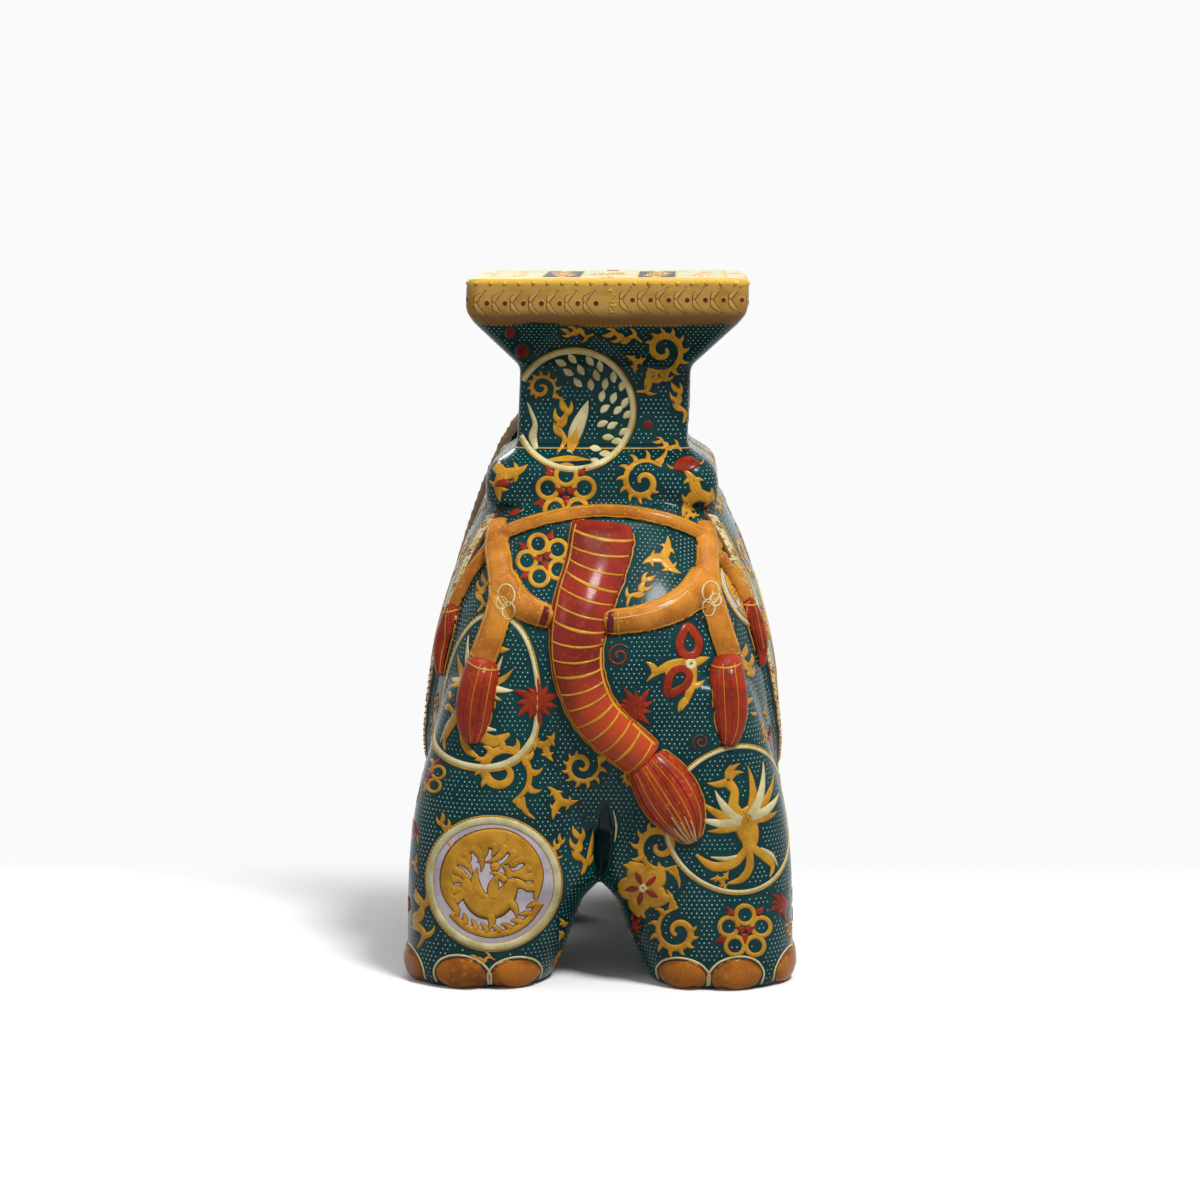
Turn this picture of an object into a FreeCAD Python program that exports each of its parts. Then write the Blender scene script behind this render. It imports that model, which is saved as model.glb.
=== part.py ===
import FreeCAD, Part
import math
import os
from FreeCAD import Vector

# Driving dimensions in millimetres; the elephant faces +Y and the feet stand on Z = 0.
total_height = 450.0
tray_side = 181.5
tray_band = 26.0
column_side = 111.5
pad_side = 151.5
pad_bottom = 303.0
pad_top = 339.5
column_top = 391.0
pedestal_y = -40.0
pedestal_lean = 4.5
wall = 8.0
leg_joint = 60.0
foot_floor = 10.0
blanket_thickness = 3.5
vent_radius = 9.0
head_turn = 12.0
neck_y = 70.0
section_points = 20

# Level sections of the torso: height, half width, rear, front.
torso_sections = [
    (94.0, 78.0, -160.0, 50.0),
    (102.0, 98.0, -180.0, 68.0),
    (118.0, 111.0, -189.0, 80.0),
    (145.0, 115.0, -194.0, 90.0),
    (175.0, 113.0, -195.0, 96.0),
    (205.0, 109.0, -192.0, 99.0),
    (232.0, 102.5, -184.0, 98.0),
    (258.0, 94.5, -168.0, 94.0),
    (281.0, 85.5, -149.0, 87.0),
    (303.0, 78.0, -123.0, 77.0),
]

# Level sections of a leg: height, inner edge, outer edge, half length.
leg_sections = [
    (0.0, 34.0, 119.0, 43.0),
    (4.0, 30.0, 122.5, 47.0),
    (14.0, 25.5, 124.5, 49.5),
    (36.0, 16.5, 124.5, 50.5),
    (54.0, 9.0, 124.3, 51.2),
    (65.0, -1.5, 124.0, 51.5),
    (100.0, -4.0, 121.0, 52.0),
    (132.0, -2.0, 114.5, 50.5),
    (164.0, 3.0, 105.5, 46.5),
    (196.0, 12.0, 94.0, 39.0),
    (226.0, 26.0, 76.0, 26.0),
]
rear_leg_y = -147.0
front_leg_y = 27.0

# Level sections of the head before it is turned: height, half width, rear, front.
head_sections = [
    (178.0, 34.0, 70.0, 126.0),
    (196.0, 50.0, 62.0, 142.0),
    (225.0, 61.0, 54.0, 155.0),
    (258.0, 67.0, 50.0, 160.0),
    (292.0, 66.0, 50.0, 155.0),
    (324.0, 59.0, 53.0, 145.0),
    (346.0, 47.0, 60.0, 132.0),
    (361.0, 26.0, 76.0, 114.0),
]


def level_ring(half_width, rear, front, height, squareness=2.5, shift=0.0, start=180.0):
    """Closed smooth curve round one level section, begun at the start angle."""
    middle = (front + rear) / 2
    half_length = (front - rear) / 2
    points = []
    for step in range(section_points):
        angle = math.radians(start) + 2 * math.pi * step / section_points
        across = math.copysign(abs(math.cos(angle)) ** (2 / squareness), math.cos(angle))
        along = math.copysign(abs(math.sin(angle)) ** (2 / squareness), math.sin(angle))
        points.append(Vector(shift + half_width * across, middle + half_length * along, height))
    curve = Part.BSplineCurve()
    curve.interpolate(Points=points, PeriodicFlag=True)
    return Part.Wire(curve.toShape())


def level_loft(sections, inset=0.0, squareness=3.0):
    """Solid through level sections, drawn in by the inset."""
    rings = []
    for height, half_width, rear, front in sections:
        rings.append(level_ring(half_width - inset, rear + inset, front - inset, height, squareness))
    return Part.makeLoft(rings, True, False)


def leg_loft(middle_y, sections, start):
    """Solid of a right leg."""
    rings = []
    for height, inner, outer, half_length in sections:
        half_width = (outer - inner) / 2
        centre = (outer + inner) / 2
        rear = middle_y - half_length
        front = middle_y + half_length
        rings.append(level_ring(half_width, rear, front, height, 2.4, centre, start))
    return Part.makeLoft(rings, True, False)


def mirrored(shape):
    """Shape mirrored to the elephant's left."""
    return shape.mirror(Vector(0, 0, 0), Vector(1, 0, 0))


def rounded_square(side, height, radius):
    """Level square with rounded corners round the pedestal axis, which leans a little to the right."""
    rise = max(0.0, height - pad_top) / (total_height - pad_top)
    half = side / 2
    flat = half - radius
    slant = radius * math.sqrt(0.5)
    edges = []
    for turn in range(4):
        angle = math.pi / 2 * turn
        spot = []
        for across, along in ((half, -flat), (half, flat), (flat + slant, flat + slant), (flat, half)):
            x = across * math.cos(angle) - along * math.sin(angle)
            y = across * math.sin(angle) + along * math.cos(angle)
            spot.append(Vector(x + pedestal_lean * rise, y + pedestal_y, height))
        edges.append(Part.makeLine(spot[0], spot[1]))
        edges.append(Part.Arc(spot[1], spot[2], spot[3]).toShape())
    return Part.Wire(edges)


def square_loft(sections):
    """Solid through rounded squares given as side, height, corner radius; straight between them."""
    return Part.makeLoft([rounded_square(*row) for row in sections], True, True)


def oval_loft(stations, upright=False):
    """Solid through ovals along a path: centre, side direction, half width, half depth."""
    rings = []
    for index, (centre, side, half_width, half_depth) in enumerate(stations):
        before = stations[max(index - 1, 0)][0]
        after = stations[min(index + 1, len(stations) - 1)][0]
        along = after - before
        if upright:
            along.z = 0
        across = side - along * (side.dot(along) / along.dot(along))
        across.normalize()
        up = along.cross(across)
        up.normalize()
        points = []
        for step in range(12):
            angle = math.pi / 6 * step
            points.append(centre + across * (half_width * math.cos(angle)) + up * (half_depth * math.sin(angle)))
        curve = Part.BSplineCurve()
        curve.interpolate(Points=points, PeriodicFlag=True)
        rings.append(Part.Wire(curve.toShape()))
    return Part.makeLoft(rings, True, False)


def turned(shape):
    """Shape turned with the head about the upright axis of the neck."""
    copy = shape.copy()
    copy.rotate(Vector(0, neck_y, 0), Vector(0, 0, 1), head_turn)
    return copy


# Outer form of the body with its legs, and the hollow inside; the left half mirrors the right.
hollow_sections = [
    (foot_floor, 36.0, 115.0, 42.0),
    (36.0, 29.0, 115.0, 41.0),
    (66.0, 12.0, 115.0, 42.0),
    (112.0, 12.0, 108.0, 41.0),
]
torso = level_loft(torso_sections)
rear_leg = leg_loft(rear_leg_y, leg_sections, 90.0)
front_leg = leg_loft(front_leg_y, leg_sections, 270.0)
rear_leg_hollow = leg_loft(rear_leg_y, hollow_sections, 90.0)
front_leg_hollow = leg_loft(front_leg_y, hollow_sections, 270.0)

inner_sections = []
for height, half_width, rear, front in torso_sections[1:-1]:
    inner_sections.append((height, half_width - wall, rear + wall, front - wall))
hollow = level_loft(inner_sections)
vent = Part.makeCylinder(vent_radius, 60.0, Vector(0, pedestal_y - 20.0, 70.0))

far = 400.0
right_space = Part.makeBox(far, 2 * far, far, Vector(0, -far, leg_joint))
upper_space = Part.makeBox(2 * far, 2 * far, far, Vector(-far, -far, leg_joint))
right_outer = torso.fuse(rear_leg).fuse(front_leg).common(right_space)
right_body = right_outer.cut(hollow).cut(rear_leg_hollow).cut(front_leg_hollow).cut(vent)
legs = {
    "rear_right": rear_leg,
    "front_right": front_leg,
    "rear_left": mirrored(rear_leg),
    "front_left": mirrored(front_leg),
}
body_outer = torso.multiFuse(list(legs.values()))
nodes = {}
nodes["body_right_half"] = right_body
nodes["body_left_half"] = mirrored(right_body)
for word, solid, core in (("rear", rear_leg, rear_leg_hollow), ("front", front_leg, front_leg_hollow)):
    leg = solid.cut(core).cut(upper_space)
    nodes[word + "_right_leg"] = leg
    nodes[word + "_left_leg"] = mirrored(leg)


def behind(x, z, depth=0.0):
    """Point on the body seen from behind at x and z, sunk by the depth."""
    ray = Part.makeLine(Vector(x, -far, z), Vector(x, 0, z))
    hit = min(vertex.Y for vertex in body_outer.common(ray).Vertexes)
    return Vector(x, hit + depth, z)


# Pedestal: saddle pad, column and plant tray, all hollow.
pad_solid = square_loft([
    (pad_side, pad_bottom, 16.0),
    (pad_side, pad_bottom + 14.0, 16.0),
    (pad_side - 2.0, pad_bottom + 20.0, 15.5),
    (pad_side - 6.0, pad_bottom + 24.0, 15.0),
    (pad_side - 12.0, pad_bottom + 27.5, 14.0),
    (column_side + 3.0, pad_top - 1.0, 8.0),
    (column_side, pad_top, 7.0),
])
pad_hollow = square_loft([
    (column_side - 2 * wall, pad_bottom + wall, 6.0),
    (column_side - 2 * wall, pad_top, 6.0),
])
nodes["saddle_pad"] = pad_solid.cut(pad_hollow)
column_solid = square_loft([(column_side, pad_top, 7.0), (column_side, column_top, 7.0)])
column_hollow = square_loft([
    (column_side - 2 * wall, pad_top, 6.0),
    (column_side - 2 * wall, column_top, 6.0),
])
nodes["pedestal_column"] = column_solid.cut(column_hollow)
band_bottom = total_height - tray_band
tray_solid = square_loft([
    (column_side, column_top, 7.0),
    (tray_side - 10.0, band_bottom - 3.0, 8.0),
    (tray_side - 3.0, band_bottom + 2.0, 8.5),
    (tray_side, band_bottom + 7.0, 9.0),
    (tray_side, total_height - 4.0, 9.0),
    (tray_side - 2.0, total_height - 1.0, 8.5),
    (tray_side - 5.0, total_height, 8.0),
])
tray_hollow = square_loft([
    (column_side - 2 * wall, column_top, 6.0),
    (tray_side - 32.0, band_bottom + 4.0, 6.0),
    (tray_side - 30.0, total_height - 12.0, 6.0),
])
nodes["plant_tray"] = tray_solid.cut(tray_hollow)

# Saddle blanket: a thin layer over each flank, with a rounded hem.
layer_sections = []
for height, half_width, rear, front in torso_sections:
    layer_sections.append((
        height,
        half_width + blanket_thickness,
        rear - blanket_thickness,
        front + blanket_thickness,
    ))
layer = level_loft(layer_sections)
hem_curve = Part.BSplineCurve()
hem_curve.interpolate(Points=[
    Vector(0, -108, pad_bottom - 2.0),
    Vector(0, -119, 255),
    Vector(0, -114, 190),
    Vector(0, -88, 138),
    Vector(0, -40, 118),
    Vector(0, 8, 138),
    Vector(0, 34, 190),
    Vector(0, 39, 255),
    Vector(0, 30, pad_bottom - 2.0),
])
hem_edge = hem_curve.toShape()
top_edge = Part.makeLine(Vector(0, 30, pad_bottom - 2.0), Vector(0, -108, pad_bottom - 2.0))
blanket_face = Part.Face(Part.Wire([hem_edge, top_edge]))
for side, word in ((-1, "left"), (1, "right")):
    outline = blanket_face.extrude(Vector(side * 200.0, 0, 0))
    nodes["saddle_blanket_" + word] = layer.common(outline).cut(torso).cut(list(legs.values()))

# Tail and tuft: x, z seen from behind, half width, half depth.
rearward = Vector(0, -1, 0)
tail_rows = [
    (3.0, 293.0, 21.0, 3.0),
    (2.0, 284.0, 21.5, 7.5),
    (-1.0, 268.0, 21.0, 10.0),
    (-8.0, 248.0, 20.0, 11.0),
    (-13.5, 224.0, 17.5, 12.0),
    (-11.5, 200.0, 16.0, 12.5),
    (-2.0, 178.0, 15.5, 12.5),
    (14.5, 161.0, 15.0, 12.5),
    (30.0, 148.0, 13.5, 12.0),
]
tuft_rows = [
    (30.0, 148.0, 13.5, 12.0),
    (42.0, 131.0, 19.0, 14.0),
    (53.0, 113.0, 16.0, 11.0),
    (60.0, 97.0, 5.0, 4.5),
]


def relief(rows, depth):
    """Applied relief on the rump: ovals along points seen from behind."""
    centres = [behind(x, z, depth) for x, z, _, _ in rows]
    stations = []
    for index, (_, _, half_width, half_depth) in enumerate(rows):
        along = centres[min(index + 1, len(rows) - 1)] - centres[max(index - 1, 0)]
        stations.append((centres[index], along.cross(rearward), half_width, half_depth))
    return oval_loft(stations)


tail_solid = relief(tail_rows, 1.0)
tuft_solid = relief(tuft_rows, 1.0).cut(tail_solid)
nodes["tail"] = tail_solid.cut(body_outer)
nodes["tail_tuft"] = tuft_solid.cut(body_outer)
laid = [tail_solid, tuft_solid]


def lay(name, solid):
    """Keep a relief piece, trimmed where it meets the body and the pieces under it."""
    near = [piece for piece in laid if piece.BoundBox.intersect(solid.BoundBox)]
    nodes[name] = solid.cut([body_outer] + near)
    laid.append(solid)


# Crupper harness: x, z seen from behind, half width, half depth.
strap_rows = {
    "crupper_left_loop": [
        (-60.5, 259.0, 9.5, 7.5),
        (-55.5, 249.0, 10.5, 8.0),
        (-46.0, 242.0, 9.8, 8.0),
        (-31.0, 237.0, 8.3, 7.5),
        (-12.0, 235.0, 8.0, 7.0),
    ],
    "crupper_right_loop": [
        (65.0, 261.0, 9.5, 7.5),
        (59.5, 250.5, 11.0, 8.0),
        (49.0, 243.0, 11.0, 8.2),
        (33.0, 237.5, 10.2, 8.0),
        (14.0, 234.5, 9.4, 7.5),
        (-6.0, 234.5, 8.5, 7.0),
    ],
    "crupper_left_drop": [
        (-65.0, 291.0, 8.0, 5.5),
        (-65.0, 276.0, 10.0, 6.5),
        (-62.0, 260.0, 10.0, 7.0),
        (-61.5, 243.0, 10.5, 7.0),
    ],
    "crupper_right_drop": [
        (65.5, 290.0, 8.0, 5.5),
        (67.0, 275.0, 9.5, 6.5),
        (67.0, 260.0, 10.0, 7.0),
        (69.5, 244.0, 10.5, 7.0),
    ],
    "crupper_top_strap": [
        (-64.0, 283.0, 6.0, 5.0),
        (-45.0, 291.0, 6.5, 5.0),
        (-22.0, 296.5, 6.5, 5.0),
        (2.0, 298.5, 6.5, 5.0),
        (27.0, 296.5, 6.5, 5.0),
        (50.0, 290.5, 6.5, 5.0),
        (69.0, 280.0, 6.0, 5.0),
    ],
    "rear_left_cord": [
        (-60.5, 245.0, 10.5, 8.0),
        (-66.0, 226.0, 11.0, 8.0),
        (-72.5, 208.0, 11.5, 7.5),
    ],
    "rear_right_cord": [
        (70.0, 245.0, 10.0, 8.0),
        (75.5, 226.0, 10.5, 8.0),
        (80.5, 209.0, 11.0, 7.5),
    ],
    "rear_left_tassel": [
        (-72.5, 209.0, 11.0, 7.5),
        (-77.0, 187.0, 13.0, 9.5),
        (-79.0, 170.0, 11.0, 7.5),
        (-79.5, 158.0, 5.0, 4.5),
    ],
    "rear_right_tassel": [
        (80.5, 210.0, 10.5, 7.5),
        (82.0, 187.0, 12.5, 9.5),
        (82.5, 170.0, 10.5, 7.5),
        (81.0, 157.0, 5.0, 4.5),
    ],
    "flank_left_cord": [
        (-67.0, 279.0, 6.5, 5.0),
        (-81.0, 260.0, 6.5, 5.0),
        (-93.0, 237.0, 6.5, 5.0),
    ],
    "flank_right_cord": [
        (74.5, 270.0, 6.5, 5.0),
        (83.5, 257.0, 6.5, 5.0),
        (92.0, 241.0, 6.5, 5.0),
    ],
    "flank_left_tassel": [
        (-93.0, 238.0, 7.0, 5.5),
        (-98.0, 220.0, 8.5, 7.0),
        (-101.5, 204.0, 7.0, 5.5),
        (-102.5, 193.0, 3.5, 3.5),
    ],
    "flank_right_tassel": [
        (92.0, 242.0, 7.0, 5.5),
        (97.5, 226.0, 8.5, 7.0),
        (101.5, 210.0, 7.0, 5.5),
        (103.0, 199.0, 3.5, 3.5),
    ],
}
for name, rows in strap_rows.items():
    lay(name, relief(rows, 1.0))

# Head, turned to the elephant's left: skull, neck, trunk, lip, tusks, ears and eyes.
skull = turned(level_loft(head_sections, 0.0, 2.3))
for side in (-1, 1):
    dome = Part.makeSphere(36.0, Vector(side * 22.0, 112.0, 332.0))
    skull = skull.fuse(turned(dome))
skull_hollow = turned(level_loft(head_sections[1:-1], wall, 2.3))
nodes["head"] = skull.cut(skull_hollow).cut(body_outer)
sideways = Vector(1, 0, 0)
neck_rows = [(16.0, 264.0, 72.0, 33.0), (50.0, 284.0, 70.0, 40.0), (88.0, 300.0, 60.0, 42.0)]
neck = oval_loft([(Vector(0, y, z), sideways, wide, deep) for y, z, wide, deep in neck_rows])
nodes["neck"] = neck.cut([skull, body_outer, pad_solid])
trunk_rows = [
    (136.0, 266.0, 39.0, 37.0),
    (165.0, 236.0, 35.0, 32.0),
    (181.0, 198.0, 30.0, 27.5),
    (186.0, 160.0, 25.5, 23.5),
    (184.0, 122.0, 20.5, 19.5),
    (178.0, 88.0, 18.0, 17.0),
    (176.0, 60.0, 16.0, 15.0),
    (184.0, 38.0, 14.5, 13.0),
    (199.0, 31.0, 13.0, 11.0),
]
trunk = turned(oval_loft([(Vector(0, y, z), sideways, wide, deep) for y, z, wide, deep in trunk_rows]))
nodes["trunk"] = trunk.cut([skull, body_outer])
lip_rows = [(112.0, 190.0, 22.0, 12.0), (134.0, 180.0, 19.0, 10.0), (150.0, 170.0, 10.0, 6.0)]
lip = turned(oval_loft([(Vector(0, y, z), sideways, wide, deep) for y, z, wide, deep in lip_rows]))
nodes["lower_lip"] = lip.cut([skull, trunk, body_outer])
tusk_rows = [
    (44.0, 132.0, 224.0, 12.0),
    (51.0, 158.0, 200.0, 11.0),
    (54.0, 181.0, 185.0, 8.0),
    (52.0, 200.0, 183.0, 3.0),
]
ear_rows = [
    (46.0, 97.0, 206.0, 360.0, 6.0),
    (62.0, 94.0, 180.0, 347.0, 6.0),
    (79.0, 87.0, 158.0, 320.0, 5.5),
    (97.0, 76.0, 145.0, 278.0, 5.0),
    (112.0, 62.0, 143.0, 235.0, 4.5),
    (121.0, 49.0, 155.0, 198.0, 3.5),
]
ear_spread = {"left": 1.0, "right": 0.68}
ear_drop = {"left": 0.0, "right": 6.0}
for side, word in ((-1, "left"), (1, "right")):
    stations = []
    for x, y, z, radius in tusk_rows:
        stations.append((Vector(side * x, y, z), sideways, radius, radius))
    tusk = turned(oval_loft(stations))
    nodes[word + "_tusk"] = tusk.cut([skull, trunk, lip])
    stations = []
    for x, y, low, high, half_depth in ear_rows:
        reach = 46.0 + (x - 46.0) * ear_spread[word]
        centre = Vector(side * reach, y, (low + high) / 2 - ear_drop[word])
        stations.append((centre, Vector(0, 0, 1), (high - low) / 2, half_depth))
    ear = turned(oval_loft(stations, True))
    nodes[word + "_ear"] = ear.cut([skull, neck, body_outer])
    bulge = FreeCAD.Matrix()
    bulge.scale(0.7, 1.2, 1.0)
    eye = Part.makeSphere(6.5).transformGeometry(bulge)
    eye.rotate(Vector(0, 0, 0), Vector(0, 0, 1), side * 35.0)
    eye.translate(Vector(side * 57.0, 134.0, 262.0))
    eye = turned(eye)
    nodes[word + "_eye"] = eye.cut(skull)

# Breast strap across the front of the shoulders.
chest_rows = [(-64.0, 176.0), (-36.0, 162.0), (0.0, 156.0), (36.0, 162.0), (64.0, 176.0)]
stations = []
for x, z in chest_rows:
    ray = Part.makeLine(Vector(x, far, z), Vector(x, 0, z))
    front = max(vertex.Y for vertex in body_outer.common(ray).Vertexes)
    stations.append((Vector(x, front - 1.0, z), Vector(0, 0, 1), 7.0, 5.0))
strap = oval_loft(stations)
nodes["breast_strap"] = strap.cut([body_outer, skull])

# Toenails: low domes round the outer side of each foot.
nail_angles = [-30.0, 18.0, 64.0, 110.0]
for name, leg in legs.items():
    side = -1 if name.endswith("left") else 1
    facing = -1 if name.startswith("rear") else 1
    middle_y = rear_leg_y if facing < 0 else front_leg_y
    nails = []
    for angle in nail_angles:
        turn = math.radians(angle)
        out = Vector(side * math.sin(turn), facing * math.cos(turn), 0)
        spot = Vector(side * 75.5, middle_y, 0)
        ray = Part.makeLine(spot + Vector(0, 0, 10.0), spot + out * far + Vector(0, 0, 10.0))
        hits = [vertex.Point for vertex in leg.common(ray).Vertexes]
        edge = max(hits, key=lambda point: (point - spot).Length)
        round_nail = Part.makeSphere(10.0)
        shape = FreeCAD.Matrix()
        shape.scale(1.65, 0.48, 1.2)
        nail = round_nail.transformGeometry(shape)
        nail.rotate(Vector(0, 0, 0), Vector(0, 0, 1), math.degrees(math.atan2(out.y, out.x)) - 90.0)
        nail.translate(Vector(edge.x - 2.6 * out.x, edge.y - 2.6 * out.y, 12.6))
        nails.append(nail.cut(leg))
    nodes[name + "_toenails"] = Part.makeCompound(nails)

# Put the middle of the whole over the origin and write one file per node.
whole = Part.makeCompound(list(nodes.values())).optimalBoundingBox()
shift = Vector(-whole.Center.x, -whole.Center.y, -whole.ZMin)
os.makedirs("parts", exist_ok=True)
for name, shape in nodes.items():
    placed = shape.copy()
    placed.translate(shift)
    placed.exportStep("parts/" + name + ".step")
    print(name, len(placed.Solids), "solids", round(placed.Volume / 1000.0, 1), "cm3", placed.isValid())
print("shift", shift, "size", whole.XLength, whole.YLength, whole.ZLength)
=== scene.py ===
import bpy
import bmesh
import math
import random
from functools import cache
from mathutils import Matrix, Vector, geometry
from mathutils.bvhtree import BVHTree


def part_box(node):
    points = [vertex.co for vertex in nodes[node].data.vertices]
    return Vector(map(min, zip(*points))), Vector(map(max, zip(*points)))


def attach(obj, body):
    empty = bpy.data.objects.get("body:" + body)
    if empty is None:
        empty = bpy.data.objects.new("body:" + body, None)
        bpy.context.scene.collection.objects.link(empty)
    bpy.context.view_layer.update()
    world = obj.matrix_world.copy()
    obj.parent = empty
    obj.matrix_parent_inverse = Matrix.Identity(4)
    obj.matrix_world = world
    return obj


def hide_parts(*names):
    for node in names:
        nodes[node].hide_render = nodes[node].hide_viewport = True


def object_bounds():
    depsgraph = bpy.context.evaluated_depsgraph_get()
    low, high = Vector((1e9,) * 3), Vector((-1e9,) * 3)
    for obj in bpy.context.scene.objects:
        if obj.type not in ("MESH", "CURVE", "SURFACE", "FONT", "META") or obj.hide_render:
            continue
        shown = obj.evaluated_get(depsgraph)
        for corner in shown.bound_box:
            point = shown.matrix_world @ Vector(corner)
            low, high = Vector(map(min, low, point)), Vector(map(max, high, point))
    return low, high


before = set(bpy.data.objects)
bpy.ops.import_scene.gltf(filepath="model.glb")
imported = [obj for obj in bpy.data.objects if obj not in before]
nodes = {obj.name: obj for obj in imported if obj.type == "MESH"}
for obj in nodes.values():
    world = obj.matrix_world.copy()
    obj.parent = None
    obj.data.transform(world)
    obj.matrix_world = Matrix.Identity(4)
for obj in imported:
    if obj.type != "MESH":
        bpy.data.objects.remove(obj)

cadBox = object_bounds()
mm = 0.001
bpy.ops.object.select_all(action="DESELECT")
print("frame loaded,", len(nodes), "nodes")


def aimed(place, aim):
    return (Vector(aim) - Vector(place)).to_track_quat("-Z", "Y")


# camera of the photograph: behind the rump, a little above the tray and to the right
photo = {
    "size": 1200,
    "focal": 3435.0,  # in picture points
    "place": Vector((0.050, -2.333, 0.519)),
    "aim": Vector((0.0, -0.150, 0.245)),
    "perMm": 1.56,  # picture points per millimetre on the rump
    "sensor": 36.0,
    "clip": (0.05, 20.0),
}
photoTurn = aimed(photo["place"], photo["aim"]).to_matrix()


def makeCamera():
    data = bpy.data.cameras.new("photoCamera")
    data.sensor_width = photo["sensor"]
    data.lens = photo["focal"] / photo["size"] * photo["sensor"]
    data.clip_start, data.clip_end = photo["clip"]
    camera = bpy.data.objects.new("photoCamera", data)
    camera.location = photo["place"]
    camera.rotation_euler = photoTurn.to_euler()
    bpy.context.collection.objects.link(camera)
    bpy.context.scene.camera = camera


makeCamera()


# shader maths written as expressions on sockets
class Sock:
    def __init__(self, tree, out):
        self.tree, self.out = tree, out

    def math(self, kind, other=None):
        node = self.tree.nodes.new("ShaderNodeMath")
        node.operation = kind
        for index, item in enumerate((self, other)):
            feed(self.tree, node.inputs[index], item)
        return Sock(self.tree, node.outputs[0])

    def __add__(self, other): return self.math("ADD", other)
    def __sub__(self, other): return self.math("SUBTRACT", other)
    def __mul__(self, other): return self.math("MULTIPLY", other)
    def __abs__(self): return self.math("ABSOLUTE")
    __radd__ = __add__


def feed(tree, socket, value):
    if isinstance(value, Sock):
        tree.links.new(value.out, socket)
    elif value is not None:
        socket.default_value = value


glazeFinish = {"coat": 0.06, "coatRough": 0.09, "specular": 0.09, "bumpDepth": 0.0004, "bumpStrength": 0.35}


class Paint:
    # one material with its node tree; add() places any node
    def __init__(self, name):
        self.material = bpy.data.materials.new(name)
        self.material.use_nodes = True
        self.tree = self.material.node_tree
        self.tree.nodes.clear()
        self.output = self.tree.nodes.new("ShaderNodeOutputMaterial")
        self.shader = self.tree.nodes.new("ShaderNodeBsdfPrincipled")
        self.tree.links.new(self.shader.outputs[0], self.output.inputs[0])
        self.place = self.add("ShaderNodeTexCoord", {}, {}, "Object")

    def add(self, kind, settings, sockets, out=0):
        node = self.tree.nodes.new(kind)
        for key, value in settings.items():
            setattr(node, key, value)
        for key, value in sockets.items():
            feed(self.tree, node.inputs[key], value)
        return Sock(self.tree, node.outputs[out])

    def noise(self, scale, detail=3.0, stretch=None):
        place = self.place
        if stretch:
            place = self.add("ShaderNodeMapping", {}, {"Vector": place, "Scale": stretch})
        return self.add("ShaderNodeTexNoise", {}, {"Vector": place, "Scale": scale, "Detail": detail})

    def blend(self, amount, first, second, mode="MIX"):
        return self.add("ShaderNodeMix", {"data_type": "RGBA", "blend_type": mode},
                        {"Factor": amount, 6: first, 7: second}, 2)

    def band(self, value, low, high):
        return self.add("ShaderNodeMapRange", {"interpolation_type": "SMOOTHSTEP"},
                        {"Value": value, "From Min": low, "From Max": high})

    def axis(self, letter):
        return self.add("ShaderNodeSeparateXYZ", {}, {"Vector": self.place}, letter)

    def edged(self, tone, code):
        # the outline colour where the rim attribute is high
        rim = self.add("ShaderNodeAttribute", {"attribute_name": "rim"}, {}, "Fac")
        return self.blend(self.band(rim, 0.45, 0.8), tone, rgb(code))

    def finish(self, colour, rough, bump=None, coat=glazeFinish["coat"], specular=glazeFinish["specular"]):
        sockets = {"Base Color": colour, "Roughness": rough, "Coat Weight": coat, "Specular IOR Level": specular,
                   "Coat Roughness": glazeFinish["coatRough"]}
        if bump is not None:
            sockets["Normal"] = self.add("ShaderNodeBump", {}, {
                "Height": bump, "Distance": glazeFinish["bumpDepth"], "Strength": glazeFinish["bumpStrength"]})
        for key, value in sockets.items():
            feed(self.tree, self.shader.inputs[key], value)
        return self.material


def rgb(code):
    # linear colour from a written screen colour
    parts = [int(code[i:i + 2], 16) / 255 for i in (0, 2, 4)]
    return tuple(c / 12.92 if c <= 0.04045 else ((c + 0.055) / 1.055) ** 2.4 for c in parts) + (1.0,)


# glaze and enamel colours: base, pooled, worn and outline tone, and how fine the clouds are
enamels = {
    "skinTeal": ("083b3c", "062c30", "15504b", "c2a184", 90.0),
    "goldEnamel": ("cf962c", "b27c20", "dfb04c", "7a5420", 260.0),
    "redEnamel": ("9f3119", "7a2513", "be5430", "8f3a1a", 220.0),
    "orangeGlaze": ("cd842f", "a9631f", "e0a24c", "8a5420", 160.0),
    "creamEnamel": ("d9cf9f", "bcae78", "e9e3c9", "a08442", 200.0),
    "lavenderEnamel": ("cfc2c8", "b2a6b0", "e0d8dc", "a89a80", 180.0),
    "brownLine": ("7a4826", "5b351c", "95653a", "5b351c", 220.0),
    "paleDot": ("a9d3c8", "86b9ae", "c9e6de", "a9d3c8", 120.0),
    "brightGold": ("e0b53c", "bd8c28", "f3da7c", "9a6c22", 240.0),
    "amberNail": ("b46a1e", "854812", "d1913e", "70400f", 110.0),
    "ivoryTusk": ("e0d6b4", "c3b182", "efe8d2", "c3b182", 110.0),
    "eyeBlack": ("191412", "0c0a0a", "3a2c22", "191412", 150.0),
    "tailRed": ("972e20", "702317", "b04a30", "742618", 120.0),
    "maroonSpot": ("76251d", "541a18", "944030", "541a18", 200.0),
    "leafOchre": ("c19a52", "b18a42", "cfae6c", "b18a42", 200.0),
    # painted shade: near-black teal laid in the cleft between the hind legs and in the crease at the column's foot
    "paintedShadeGlaze": ("0a2225", "08181b", "0f2c2e", "082a2c", 120.0),
    "tuftRed": ("b03c1a", "862812", "d97a4a", "8c2a16", 120.0),
}
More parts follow.
